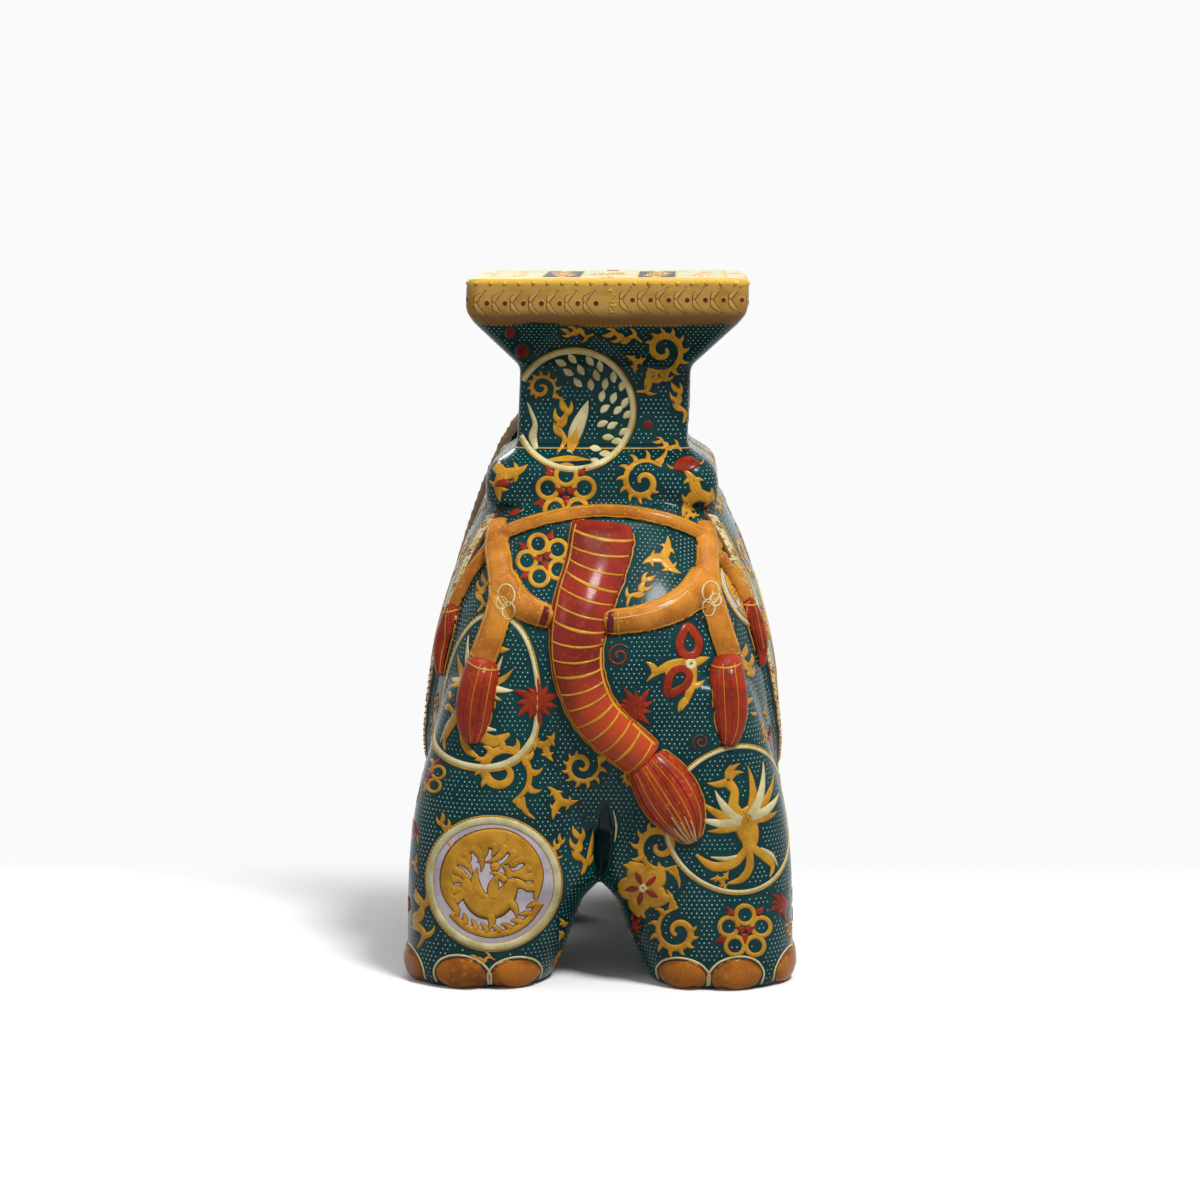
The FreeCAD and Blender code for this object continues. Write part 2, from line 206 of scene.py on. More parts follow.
# these two are brushed along the piece and grow brighter towards its lower end
brushed = {
    "tailRed": {"stretch": (1.0, 1.0, 0.4), "foot": "c04a22", "span": (0.222, 0.176)},
    "tuftRed": {"stretch": (3.0, 1.0, 0.5), "foot": "dfa880", "span": (0.121, 0.101)},
}


@cache
def enamelPaint(name, outlined):
    base, deep, worn, line, grain = enamels[name]
    paint = Paint(name + ("Drawn" if outlined else "Glaze"))
    streaks = brushed.get(name, {})
    cloud = paint.noise(grain * 0.35, 4.0, streaks.get("stretch"))
    speck = paint.noise(grain * 3.0, 2.0)
    tone = paint.blend(paint.band(cloud, 0.36, 0.68), rgb(base), rgb(deep))
    tone = paint.blend(paint.band(speck, 0.55, 0.75) * 0.5, tone, rgb(worn))
    if streaks:
        low = paint.band(paint.axis("Z") + cloud * 0.02, *streaks["span"])
        tone = paint.blend(low * 0.8, tone, rgb(streaks["foot"]))
    if outlined:
        tone = paint.edged(tone, line)
    return paint.finish(tone, 0.20 + paint.band(cloud, 0.45, 0.75) * 0.10, paint.noise(grain * 0.8, 2.0))


# the pedestal is banded by height: dotted teal, ochre tray band with painted shade at its foot, gold rim, and a
# cream top with two long panels
trayLook = {
    "x": 0.0045, "y": -0.0395,
    "band": (0.4235, 0.4255), "shade": (0.4335, 0.4285), "rim": (0.4468, 0.4484), "top": (0.4485, 0.4489),
    "field": 0.080, "letIn": 0.00045,
    "ends": (0.0865, 0.0855), "line": (0.0775, 0.0765), "inner": (0.0755, 0.0745), "bars": (0.0045, 0.0038),
    "panelAt": 0.031, "soft": 0.0008,
    "panels": (("c79a3a", 0.0137, 0.0672), ("062f2f", 0.0125, 0.0660)),  # gold edge, teal inside
}


def trayPaint():
    paint, look = Paint("trayBandGlaze"), trayLook
    high, wave = paint.axis("Z"), paint.noise(28.0, 3.0)
    cloud, speck = paint.noise(26.0, 4.0, (1.0, 1.0, 3.0)), paint.noise(420.0, 2.0)
    teal = paint.blend(paint.band(cloud, 0.36, 0.68), rgb("083b3c"), rgb("062c30"))
    ochre = paint.blend(paint.band(cloud, 0.40, 0.70), rgb("b78f45"), rgb("a0762f"))
    ochre = paint.blend(paint.band(speck, 0.55, 0.75) * 0.4, ochre, rgb("c9a75f"))
    # painted shade: the ochre band turns brown towards its foot, where it curves under the tray
    ochre = paint.blend(paint.band(high + wave * 0.008, *look["shade"]), ochre, rgb("8b6534"))
    tone = paint.blend(paint.band(high + wave * 0.010, *look["band"]), teal, ochre)
    tone = paint.blend(paint.band(high + wave * 0.003, *look["rim"]), tone, rgb("cda544"))
    across, along = abs(paint.axis("X") - look["x"]), abs(paint.axis("Y") - look["y"])
    reach = across.math("MAXIMUM", along)
    field = paint.blend(cloud, rgb("c3be9f"), rgb("aeaa88"))
    field = paint.blend(paint.band(across.math("MINIMUM", along), *look["bars"]), field, rgb("8a2f22"))
    field = paint.blend(paint.band(reach, *look["line"]), field, rgb("c79a3a"))
    inner = paint.blend(cloud, rgb("c0bb9a"), rgb("a8a480"))
    field = paint.blend(paint.band(reach, *look["inner"]), field, inner)
    for code, wide, deep in look["panels"]:
        inside = paint.band(abs(across - look["panelAt"]), wide, wide - look["soft"])
        field = paint.blend(inside * paint.band(along, deep, deep - look["soft"]), field, rgb(code))
    onTop = paint.band(high, *look["top"]) * paint.band(reach, *look["ends"])
    tone = paint.edged(paint.blend(onTop, tone, field), enamels["skinTeal"][3])
    rough = 0.17 + paint.band(cloud, 0.45, 0.75) * 0.10 + onTop * 0.35
    return paint.finish(tone, rough, paint.noise(72.0, 2.0))


weld = 0.00002


def weldedCopy(sources):
    mesh = bmesh.new()
    for source in sources:
        mesh.from_mesh(nodes[source].data)
    bmesh.ops.remove_doubles(mesh, verts=mesh.verts, dist=weld)
    return mesh


# skins: the moulded pieces flow together under one glaze
def joinedCopy(name, sources):
    mesh = weldedCopy(sources)
    data = bpy.data.meshes.new(name)
    mesh.to_mesh(data)
    mesh.free()
    piece = bpy.data.objects.new(name, data)
    bpy.context.collection.objects.link(piece)
    return piece


def pick(piece):
    bpy.ops.object.select_all(action="DESELECT")
    piece.select_set(True)
    bpy.context.view_layer.objects.active = piece


def applyModifier(piece, kind, **settings):
    pick(piece)
    modifier = piece.modifiers.new(kind, kind)
    for key, value in settings.items():
        setattr(modifier, key, value)
    bpy.ops.object.modifier_apply(modifier=modifier.name)


def dress(piece, paint, slot, replaced=()):
    piece.data.materials.clear()
    piece.data.materials.append(paint)
    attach(piece, "root")
    if replaced:
        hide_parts(*replaced)
    print(piece.name, len(piece.data.polygons), "faces")
    return piece


def melt(piece, voxel, rounds):
    applyModifier(piece, "REMESH", mode="VOXEL", voxel_size=voxel)
    applyModifier(piece, "SMOOTH", factor=0.5, iterations=rounds)


def keptSide(whole, name, cuts):
    # copy of the whole skin, cut by planes and closed again
    piece = whole.copy()
    piece.data = whole.data.copy()
    piece.name = name
    bpy.context.collection.objects.link(piece)
    pick(piece)
    bpy.ops.object.mode_set(mode="EDIT")
    for spot, normal in cuts:
        bpy.ops.mesh.select_all(action="SELECT")
        bpy.ops.mesh.bisect(plane_co=spot, plane_no=normal, use_fill=True, clear_outer=True)
    bpy.ops.object.mode_set(mode="OBJECT")
    bpy.ops.object.shade_smooth_by_angle(angle=math.radians(50))
    return piece


sides = ("left", "right")
feet = [end + "_" + side for end in ("rear", "front") for side in sides]
hangings = [end + "_" + side for end in ("rear", "flank") for side in sides]
skins = {
    "bodySkin": ["body_left_half", "body_right_half", *(foot + "_leg" for foot in feet),
                 "saddle_blanket_left", "saddle_blanket_right"],
    "headSkin": ["head", "neck", "trunk", "left_ear", "right_ear", "lower_lip"],
    "pedestalSkin": ["saddle_pad", "pedestal_column", "plant_tray"],
}
# the plug closes the vent; the skin is cut at the pad's foot, at the breast and just in front of the tray
skinLook = {
    "voxel": 0.0022, "rounds": 5,
    "plug": {"vertices": 24, "radius": 0.012, "depth": 0.005, "location": (0.0, -0.0595, 0.100)},
    "padFoot": (0, 0, 0.301), "breast": (0, 0.088, 0), "trayFront": (0, 0.0535, 0),
}


def makeSkins():
    whole = joinedCopy("wholeSkin", [node for sources in skins.values() for node in sources])
    bpy.ops.mesh.primitive_cylinder_add(**skinLook["plug"])
    plug = bpy.context.object
    pick(whole)
    plug.select_set(True)
    bpy.ops.object.join()
    melt(whole, skinLook["voxel"], skinLook["rounds"])
    foot, breast, front = (skinLook[key] for key in ("padFoot", "breast", "trayFront"))
    up, down, ahead, back = (0, 0, 1), (0, 0, -1), (0, 1, 0), (0, -1, 0)
    made = {
        "pedestalSkin": keptSide(whole, "pedestalSkin", [(foot, down), (front, ahead)]),
        "bodySkin": keptSide(whole, "bodySkin", [(foot, up), (breast, ahead)]),
        "headSkin": keptSide(whole, "headSkin", [(foot, down), (front, back)]),
    }
    lower = keptSide(whole, "lowerHead", [(foot, up), (breast, back)])
    pick(made["headSkin"])
    lower.select_set(True)
    bpy.ops.object.join()
    bpy.data.objects.remove(whole)
    for vertex in made["pedestalSkin"].data.vertices:
        reach = max(abs(vertex.co.x - trayLook["x"]), abs(vertex.co.y - trayLook["y"]))
        if vertex.co.z > trayLook["top"][0] and reach < trayLook["field"]:
            vertex.co.z -= trayLook["letIn"]
    return made


shapes = makeSkins()
for name, piece in shapes.items():
    paint = trayPaint() if name == "pedestalSkin" else enamelPaint("skinTeal", True)
    dress(piece, paint, "ground_glaze", skins[name])

# applied relief: nodes, voxel, paint and slot
reliefs = {
    "tailSkin": (["tail"], 0.0012, "tailRed", "tail_red"),
    "tuftSkin": (["tail_tuft"], 0.0012, "tuftRed", "tuft_red"),
    "harnessSkin": (["crupper_top_strap",
                     *(f"crupper_{side}_{part}" for part in ("drop", "loop") for side in sides),
                     *(place + "_cord" for place in hangings), "breast_strap"],
                    0.0011, "orangeGlaze", "harness_orange"),
    "tasselSkin": ([place + "_tassel" for place in hangings], 0.0011, "redEnamel", "tassel_red"),
    "nailSkin": ([foot + "_toenails" for foot in feet], 0.0009, "amberNail", "nail_amber"),
    "tuskSkin": ([side + "_tusk" for side in sides], 0.0012, "ivoryTusk", "tusk_ivory"),
    "eyeSkin": ([side + "_eye" for side in sides], 0.0006, "eyeBlack", "eye_glaze"),
}
for name, (sources, voxel, paint, slot) in reliefs.items():
    piece = joinedCopy(name, sources)
    melt(piece, voxel, 4)
    bpy.ops.object.shade_smooth()
    shapes[name] = dress(piece, enamelPaint(paint, False), slot, sources)


# brush work: lines and discs of enamel that follow the surface they are painted on
def treeOf(*pieces):
    corners, faces = [], []
    for piece in pieces:
        first = len(corners)
        corners += [v.co.copy() for v in piece.data.vertices]
        faces += [[first + i for i in face.vertices] for face in piece.data.polygons]
    return BVHTree.FromPolygons(corners, faces)


tops = {name: treeOf(*(shapes[part] for part in parts)) for name, parts in {
    "ground": ("bodySkin", "headSkin", "pedestalSkin"),
    "harness": ("bodySkin", "pedestalSkin", "harnessSkin"),
    "tassel": ("bodySkin", "tasselSkin"),
    "nail": ("bodySkin", "nailSkin"),
    "tail": ("tailSkin",),
    "tuft": ("tuftSkin",),
    "strapOnly": ("harnessSkin",),
    "tasselOnly": ("tasselSkin",),
}.items()}
ground = tops["ground"]


# the flattest hit allowed, the furthest from a near surface, and how far out rays start
landing = {"graze": -0.26, "near": 0.0018, "stand": 0.15}


class Chart:
    near = None  # a surface that hits must lie close to
    middle, reach = None, 0.0  # hits must not lie further away than this


class PhotoChart(Chart):
    # sheet of picture points; u to the right and v upwards are millimetres on the rump
    def __init__(self, x, y, surface=None):
        self.x, self.y = x, y
        self.surface = surface or ground

    def ray(self, u, v):
        half = photo["size"] / 2
        across = (self.x + u * photo["perMm"] - half) / photo["focal"]
        rise = (half - self.y + v * photo["perMm"]) / photo["focal"]
        return photo["place"], (photoTurn @ Vector((across, rise, -1.0))).normalized()


class WallChart(Chart):
    # flat sheet held in front of the surface, facing along outward
    def __init__(self, spot, outward, surface=None, up=(0, 0, 1)):
        self.out = Vector(outward).normalized()
        self.across = Vector(up).cross(self.out)
        if self.across.length < 0.05:
            self.across = Vector((1, 0, 0))
        self.across.normalize()
        self.rise = self.out.cross(self.across)
        self.spot = Vector(spot)
        self.surface = surface or ground
        self.stand = landing["stand"]

    def flat(self, spot):
        away = spot - self.spot
        return away.dot(self.across) / mm, away.dot(self.rise) / mm

    def ray(self, u, v):
        start = self.spot + (self.across * u + self.rise * v) * mm + self.out * self.stand
        return start, -self.out


def land(chart, u, v):
    start, way = chart.ray(u, v)
    spot, normal, index, far = chart.surface.ray_cast(start, way)
    if spot is None or normal.dot(way) > landing["graze"]:
        return None
    if chart.near and chart.near.find_nearest(spot)[3] > landing["near"]:
        return None
    if chart.middle and (spot - chart.middle).length > chart.reach:
        return None
    return spot, normal


def held(chart, reach):
    # keeps the paint of a chart within a distance of its middle
    hit = land(chart, 0, 0)
    if hit:
        chart.middle, chart.reach = hit[0], reach * mm
    return chart


covered = set()  # cells of the space that carry paint
cellSize = 0.0016


def cellOf(spot):
    return (round(spot.x / cellSize), round(spot.y / cellSize), round(spot.z / cellSize))


def cellsRound(spot, reach, steps=None):
    # cells up to reach away along each axis, and up to steps away in all
    x, y, z = cellOf(spot)
    span = range(-reach, reach + 1)
    return [(x + dx, y + dy, z + dz) for dx in span for dy in span for dz in span
            if steps is None or abs(dx) + abs(dy) + abs(dz) <= steps]


def cover(first, second):
    parts = 1 + int((second - first).length / cellSize)
    covered.update(cellOf(first.lerp(second, k / parts)) for k in range(parts + 1))


def smoothLine(rows, closed, step):
    # line through rows of u, v, half width
    count, line = len(rows), []
    for i in range(count if closed else count - 1):
        four = [rows[(i + k) % count] if closed else rows[min(max(i + k, 0), count - 1)] for k in (-1, 0, 1, 2)]
        parts = max(2, math.ceil(math.dist(four[1][:2], four[2][:2]) / step))
        for j in range(parts):
            t = j / parts
            line.append(tuple(0.5 * (2 * b + (c - a) * t + (2 * a - 5 * b + 4 * c - d) * t * t
                                     + (3 * b - a - 3 * c + d) * t ** 3) for a, b, c, d in zip(*four)))
    return line if closed else line + [rows[-1]]


brush = {
    # across, rise and rim share of the five top points
    "edge": ((-1.0, -0.3, 1.0), (-0.66, 0.85, 0.0), (0.0, 1.0, 0.0), (0.66, 0.85, 0.0), (1.0, -0.3, 1.0)),
    "sink": 0.9, "step": 1.6, "jump": 5.0, "thinnest": 0.05, "flattest": 0.35, "fullFrom": 0.9,
    "discEdge": -0.3, "discSpread": 1.6, "discShrink": 0.92, "discLeast": 0.02, "beadEdge": -0.12, "beadSink": 0.5,
    "mapMargin": 0.08,
}


class Enamel:
    # all brush work of one colour and region
    def __init__(self, name, paint, slot):
        self.name, self.paint, self.slot = name, paint, slot
        self.corners, self.rims, self.faces, self.maps, self.cells = [], [], [], [], 0

    def stroke(self, chart, rows, height=0.4, lift=0.0, closed=False):
        line = smoothLine(rows, closed, brush["step"])
        runs, run = [], []
        for i, (u, v, half) in enumerate(line):
            half = max(half, brush["thinnest"])
            before = line[i - 1] if i or closed else line[0]
            after = line[(i + 1) % len(line)] if i + 1 < len(line) or closed else line[-1]
            du, dv = after[0] - before[0], after[1] - before[1]
            size = math.hypot(du, dv) or 1.0
            ring = []
            tall = height * min(1.0, brush["flattest"] + half / brush["fullFrom"])
            for across, rise, rim in brush["edge"]:
                hit = land(chart, u - dv / size * across * half, v + du / size * across * half)
                if hit is None:
                    break
                ring.append((hit[0] + hit[1] * (lift + rise * tall) * mm, rim))
                if across == 0.0:
                    under = hit[0] - hit[1] * brush["sink"] * mm
            jumped = run and len(ring) == 5 and (ring[2][0] - run[-1][2][0]).length > brush["jump"] * mm
            if len(ring) < 5 or jumped:
                runs.append(run)
                run = []
            if len(ring) == 5:
                run.append(ring + [(under, 0.5)])
        whole = closed and not runs
        if closed and runs and runs[0] and run:
            runs[0] = run + runs[0]
            run = []
        for part in runs + [run]:
            if len(part) > 1:
                self.ribbon(part, whole)

    def ribbon(self, rings, closed):
        first, count = len(self.corners), len(rings)
        for ring in rings:
            for spot, rim in ring:
                self.corners.append(spot)
                self.rims.append(rim)
            for point, other in zip(ring[:4], ring[1:5]):
                cover(point[0], other[0])
        for i in range(count if closed else count - 1):
            low, high = first + i * 6, first + (i + 1) % count * 6
            for k in range(6):
                n = (k + 1) % 6
                self.faces.append((low + k, high + k, high + n, low + n))
                self.maps.append((self.cells, ((i / count, k / 6), ((i + 1) / count, k / 6),
                                               ((i + 1) / count, (k + 1) / 6), (i / count, (k + 1) / 6))))
        if not closed:
            last = first + (count - 1) * 6
            corner = ((0.97, 0.0), (0.99, 0.0), (0.99, 0.1), (0.98, 0.12), (0.97, 0.1), (0.96, 0.05))
            self.faces.append(tuple(range(first, first + 6)))
            self.faces.append(tuple(range(last + 5, last - 1, -1)))
            self.maps += [(self.cells, corner), (self.cells, corner)]
        self.cells += 1

    def disc(self, chart, u, v, wide, tall, height=0.3, lift=0.0, sectors=56, rounds=9):
        # closed round sheet of enamel
        middle = land(chart, u, v)
        if middle is None:
            return
        widest = (wide + tall) * brush["discSpread"] * mm
        top, low, first = [[middle[0] + middle[1] * (lift + height) * mm]], [], len(self.corners)
        under = [[middle[0] - middle[1] * brush["sink"] * mm]]
        for j in range(1, rounds + 1):
            share, row, deep = j / rounds, [], []
            for i in range(sectors):
                a = 2 * math.pi * i / sectors
                reach, hit = share, None
                while hit is None and reach > brush["discLeast"]:
                    hit = land(chart, u + math.cos(a) * wide * reach, v + math.sin(a) * tall * reach)
                    if hit and (hit[0] - middle[0]).length > widest:
                        hit = None
                    reach *= brush["discShrink"]
                spot, normal = hit or middle
                rise = lift + (height if j < rounds else brush["discEdge"])
                row.append(spot + normal * rise * mm)
                deep.append(spot - normal * brush["sink"] * mm)
                for inner in (top[-1][i % len(top[-1])], row[i - 1]):
                    cover(spot, inner)
            top.append(row)
            under.append(deep)
        for rows, side in ((top, 1), (under, -1)):
            base = len(self.corners)
            for j, row in enumerate(rows):
                for spot in row:
                    self.corners.append(spot)
                    self.rims.append(1.0 if j == rounds else 0.0)
            for i in range(sectors):
                n = (i + 1) % sectors
                fan = (base, base + 1 + i, base + 1 + n)
                self.addFace(fan if side > 0 else fan[::-1], sectors, rounds, 0, i, side)
                for j in range(rounds - 1):
                    a = base + 1 + j * sectors
                    b = a + sectors
                    quad = (a + i, b + i, b + n, a + n)
                    self.addFace(quad if side > 0 else quad[::-1], sectors, rounds, j + 1, i, side)
        rimTop = first + 1 + (rounds - 1) * sectors
        rimLow = rimTop + 1 + rounds * sectors
        for i in range(sectors):
            n = (i + 1) % sectors
            self.addFace((rimTop + i, rimLow + i, rimLow + n, rimTop + n), sectors, rounds, rounds, i, -1)
        self.cells += 1

    def addFace(self, face, sectors, rounds, ring, sector, side):
        u0, u1 = sector / sectors, (sector + 1) / sectors
        v0, v1 = ring / (rounds + 1) * 0.5, (ring + 1) / (rounds + 1) * 0.5
        if side < 0:
            v0, v1 = 0.5 + v0, 0.5 + v1
        square = ((u0, v0), (u0, v1), (u1, v1), (u1, v0))
        self.faces.append(face)
        self.maps.append((self.cells, square[:len(face)]))

    def bead(self, spot, normal, radius, height, sides=5, rounds=1):
        # small dome
        first = len(self.corners)
        flat = normal.orthogonal().normalized()
        side = normal.cross(flat)
        for j in range(rounds):
            share = j / rounds
            rise = height * (math.sin(share * math.pi / 2) if j else brush["beadEdge"])
            reach = radius * math.cos(share * math.pi / 2)
            for i in range(sides):
                a = 2 * math.pi * i / sides
                edge = (flat * math.cos(a) + side * math.sin(a)) * reach
                self.corners.append(spot + edge * mm + normal * rise * mm)
        self.corners += [spot + normal * height * mm, spot - normal * brush["beadSink"] * mm]
        self.rims += [0.0] * (rounds * sides + 2)
        top = first + rounds * sides
        for i in range(sides):
            n = (i + 1) % sides
            wedge = ((i / sides, 0.0), ((i + 1) / sides, 0.0), ((i + 0.5) / sides, 0.9))
            for j in range(rounds - 1):
                a, b = first + j * sides, first + (j + 1) * sides
                self.faces.append((a + i, a + n, b + n, b + i))
                self.maps.append((self.cells, (wedge[0], wedge[1], wedge[2], wedge[2])))
            last = first + (rounds - 1) * sides
            self.faces += [(last + i, last + n, top), (first + n, first + i, top + 1)]
            self.maps += [(self.cells, wedge), (self.cells, wedge)]
        self.cells += 1

    def finish(self):
        if not self.faces:
            return
        # no paint stands out of the object's box
        corners = [tuple(min(max(c, low), high) for c, low, high in zip(spot, *cadBox)) for spot in self.corners]
        data = bpy.data.meshes.new(self.name)
        data.from_pydata(corners, [], self.faces)
        rim = data.attributes.new("rim", "FLOAT", "POINT")
        rim.data.foreach_set("value", self.rims)
        bake = data.uv_layers.new(name="OFBake")
        side = math.ceil(math.sqrt(self.cells))
        margin, flatMap = brush["mapMargin"], []
        for cell, outline in self.maps:
            x, y = cell % side, cell // side
            for u, v in outline:
                flatMap += [(start + margin + share * (1 - 2 * margin)) / side for start, share in ((x, u), (y, v))]
        bake.data.foreach_set("uv", flatMap)
        data.polygons.foreach_set("use_smooth", [True] * len(data.polygons))
        data.update()
        piece = bpy.data.objects.new(self.name, data)
        bpy.context.collection.objects.link(piece)
        dress(piece, enamelPaint(self.paint, True), self.slot)


# colours of the brush work: paint, and the slot with the nearest fired colour of the record
palette = {
    "gold": ("goldEnamel", "tray_glaze"),
    "red": ("redEnamel", "tassel_red"),
    "cream": ("creamEnamel", "tusk_ivory"),
    "lavender": ("lavenderEnamel", "tusk_ivory"),
    "brown": ("brownLine", "nail_amber"),
    "bright": ("brightGold", "tray_glaze"),
    "orange": ("orangeGlaze", "harness_orange"),
    "maroon": ("maroonSpot", "tail_red"),
    "leaf": ("leafOchre", "tray_glaze"),
    # painted shade for the cleft and the column's crease
    "paintedShade": ("paintedShadeGlaze", "ground_glaze"),
    "hem": ("creamEnamel", "blanket_glaze"),
    "amber": ("amberNail", "nail_amber"),
}
bags = {}
region = "rear"


def bag(colour):
    name = colour + region.capitalize() + "Enamel"
    if name not in bags:
        bags[name] = Enamel(name, *palette[colour])
    return bags[name]


# motifs in a unit square; each mark is colour, rows of x, y, half width, and whether it closes
def polar(radius, degrees):
    return radius * math.cos(math.radians(degrees)), radius * math.sin(math.radians(degrees))


# share of the length and of the half width
flameSwell = ((0.0, 1.0), (0.4, 0.85), (0.75, 0.45), (1.0, 0.04))
featherSwell = ((0.0, 0.25), (0.3, 0.9), (0.6, 0.95), (0.85, 0.45), (1.0, 0.05))


def tongue(x, y, degrees, length, half, hook=0.0, swell=flameSwell):
    # flame tongue from a root: swells, then runs to a point that may hook to one side
    rows = []
    for share, width in swell:
        dx, dy = polar(length * share, degrees + hook * share)
        rows.append((x + dx, y + dy, half * width))
    return rows


def flames(colour, *roots):
    return [(colour, tongue(*root), False) for root in roots]


def feather(colour, *root):
    # teardrop: narrow root, round body, pointed end
    return colour, tongue(*root, featherSwell), False


def ringRows(x, y, wide, tall, half, points=10, start=0.0):
    rows = []
    for i in range(points):
        dx, dy = polar(1.0, start + 360 * i / points)
        rows.append((x + dx * wide, y + dy * tall, half))
    return rows


def flameScroll():
    def onSpiral(t):
        angle = -110 + 520 * t
        return (*polar(1 - 0.88 * t ** 0.85, angle), angle)

    spiral = []
    for i in range(15):
        t = i / 14
        x, y, angle = onSpiral(t)
        spiral.append((x, y, 0.045 + 0.11 * math.sin(math.pi * (0.06 + 0.88 * t))))
    marks = [("gold", spiral, False)]
    for i in range(10):
        x, y, angle = onSpiral(0.02 + 0.058 * i)
        marks += flames("gold", (x, y, angle - 38, 0.46 - 0.016 * i, 0.13, 55))
    for t in (0.16, 0.30, 0.46):
        x, y, angle = onSpiral(t)
        marks += flames("gold", (x, y, angle + 150, 0.3, 0.09, -40))
    marks.append(("gold", [(0.0, -1.0, 0.06), (-0.22, -1.35, 0.09), (-0.15, -1.75, 0.02)], False))
    return marks


def starLeaf():
    marks = []
    for angle, length in ((96, 1.0), (215, 0.95), (-28, 0.9)):
        x, y = polar(length * 0.5, angle + 10)
        marks += flames("gold", (0, 0, angle, length, 0.24, 24), (x, y, angle + 78, 0.36, 0.12, 30),
                        (x * 0.9, y * 0.9, angle - 62, 0.36, 0.12, -30))
    return marks


def flameBranch():
    # wavy stem with tongues to both sides
    stem = [(0.0, -1.0, 0.05), (0.2, -0.55, 0.1), (-0.08, -0.1, 0.12), (0.16, 0.4, 0.1), (-0.1, 0.95, 0.02)]
    roots = ((0.16, -0.6, -10, 50), (0.1, -0.35, 190, -60), (-0.05, -0.08, 20, 50), (-0.02, 0.08, 165, -50),
             (0.14, 0.36, 30, 45), (0.12, 0.5, 150, -40))
    tongues = [(x, y, angle, 0.52, 0.13, hook) for x, y, angle, hook in roots]
    return [("gold", stem, False)] + flames("gold", *tongues)


def ringFlower():
    marks = [("gold", ringRows(*polar(0.58, 90 + 72 * i), 0.31, 0.31, 0.085), True) for i in range(5)]
    for angle in (30, 150, 270):
        marks += flames("red", (*polar(0.06, angle), angle, 0.36, 0.13))
    for angle in (54, 198, 126):
        x, y = polar(0.72, angle)
        marks += flames("red", (x, y, angle, 0.34, 0.12), (x, y, angle + 40, 0.24, 0.07))
    return marks


def burst():
    lengths = (1.0, 0.72, 0.9, 0.62, 0.95, 0.7, 0.85, 0.66, 0.92, 0.7, 0.8)
    return flames("red", *((0, 0, i * 360 / 11, length, 0.2, 12) for i, length in enumerate(lengths)))


def keyFlower():
    marks = []
    for angle in (95, 232):
        x, y = polar(0.55, angle)
        c, s = polar(1.0, angle)
        petal = []
        for i in range(8):
            dx, dy = polar(0.34 if i else 0.5, i * 45)
            petal.append((x + dx * c - dy * s * 0.8, y + dx * s + dy * c * 0.8, 0.13))
        marks.append(("red", petal, True))
    for angle, hook in ((172, 30), (-82, -20)):
        marks += flames("gold", (0, 0, angle, 1.35, 0.2, hook))
        for share, turn in ((0.45, 75), (0.75, -70)):
            marks += flames("gold", (*polar(1.35 * share, angle + hook * share), angle + turn, 0.42, 0.13, 30))
    marks += flames("gold", (0.05, 0.02, 20, 0.5, 0.16))
    marks.append(("cream", ringRows(0, 0, 0.1, 0.1, 0.07, 8), True))
    return marks


def fruit():
    body = [(-0.75, 0.05, 0.06), (-0.35, 0.1, 0.4), (0.15, 0.08, 0.46), (0.7, -0.05, 0.08)]
    tips = flames("gold", (-0.7, 0.05, 170, 0.5, 0.09, -40), (0.66, -0.04, -20, 0.4, 0.08, 60))
    return [("red", body, False)] + tips


def spiralEye():
    turns = [i / 11 for i in range(12)]
    return [("red", [(*polar(1 - 0.85 * t, 40 + 560 * t), 0.06 + 0.06 * t) for t in turns], False)]


def bloom():
    # wide ochre flower with red streaks
    marks = []
    for i in range(5):
        angle = 20 + 72 * i
        marks.append(feather("gold", 0, 0, angle, 1.0, 0.46, 14))
        marks += flames("gold", (*polar(0.55, angle + 16), angle, 0.5, 0.2, 40))
        marks.append(feather("red", *polar(0.12, angle + 6), angle + 6, 0.5, 0.13, 5))
    marks.append(("cream", ringRows(0, 0, 0.09, 0.09, 0.07, 8), True))
    return marks


def phoenix():
    # bird with spread wings, a crest and trailing plumes
    lines = (
        ("gold", [(0.0, 0.05, 0.10), (0.08, -0.12, 0.20), (0.12, -0.32, 0.16), (0.06, -0.5, 0.05)]),
        ("gold", [(0.05, -0.05, 0.14), (-0.12, 0.18, 0.10), (-0.1, 0.42, 0.075), (-0.2, 0.56, 0.09)]),
        ("gold", [(0.08, -0.4, 0.06), (-0.12, -0.62, 0.08), (-0.42, -0.66, 0.075), (-0.66, -0.48, 0.02)]),
        ("gold", [(0.1, -0.42, 0.06), (0.12, -0.68, 0.075), (0.0, -0.86, 0.065), (-0.22, -0.92, 0.015)]),
        ("gold", [(0.14, -0.4, 0.06), (0.36, -0.56, 0.075), (0.52, -0.72, 0.055), (0.46, -0.88, 0.015)]),
        ("cream", [(-0.08, -0.52, 0.02), (-0.24, -0.56, 0.04), (-0.46, -0.52, 0.01)]),
        ("cream", [(0.3, -0.44, 0.02), (0.5, -0.56, 0.04), (0.62, -0.74, 0.01)]),
    )
    marks = [(colour, rows, False) for colour, rows in lines]
    marks += flames("gold", (-0.2, 0.56, 200, 0.3, 0.07, -20), (0.08, 0.0, 28, 0.5, 0.2, 10),
                    (0.02, -0.04, 180, 0.42, 0.17, -8), (-0.18, 0.6, 112, 0.22, 0.06, -40),
                    (-0.18, 0.6, 86, 0.3, 0.06, -40), (-0.18, 0.6, 58, 0.26, 0.06, -40))
    for i, (angle, length) in enumerate(((70, 0.74), (48, 0.82), (26, 0.78), (4, 0.68), (-18, 0.52))):
        marks += flames("cream" if i % 2 else "gold", (0.14, 0.04, angle, length, 0.095, 20))
    for i, (angle, length) in enumerate(((148, 0.6), (170, 0.68), (192, 0.64), (214, 0.5))):
        marks += flames("gold" if i % 2 else "cream", (-0.02, -0.02, angle, length, 0.09, -20))
    return marks


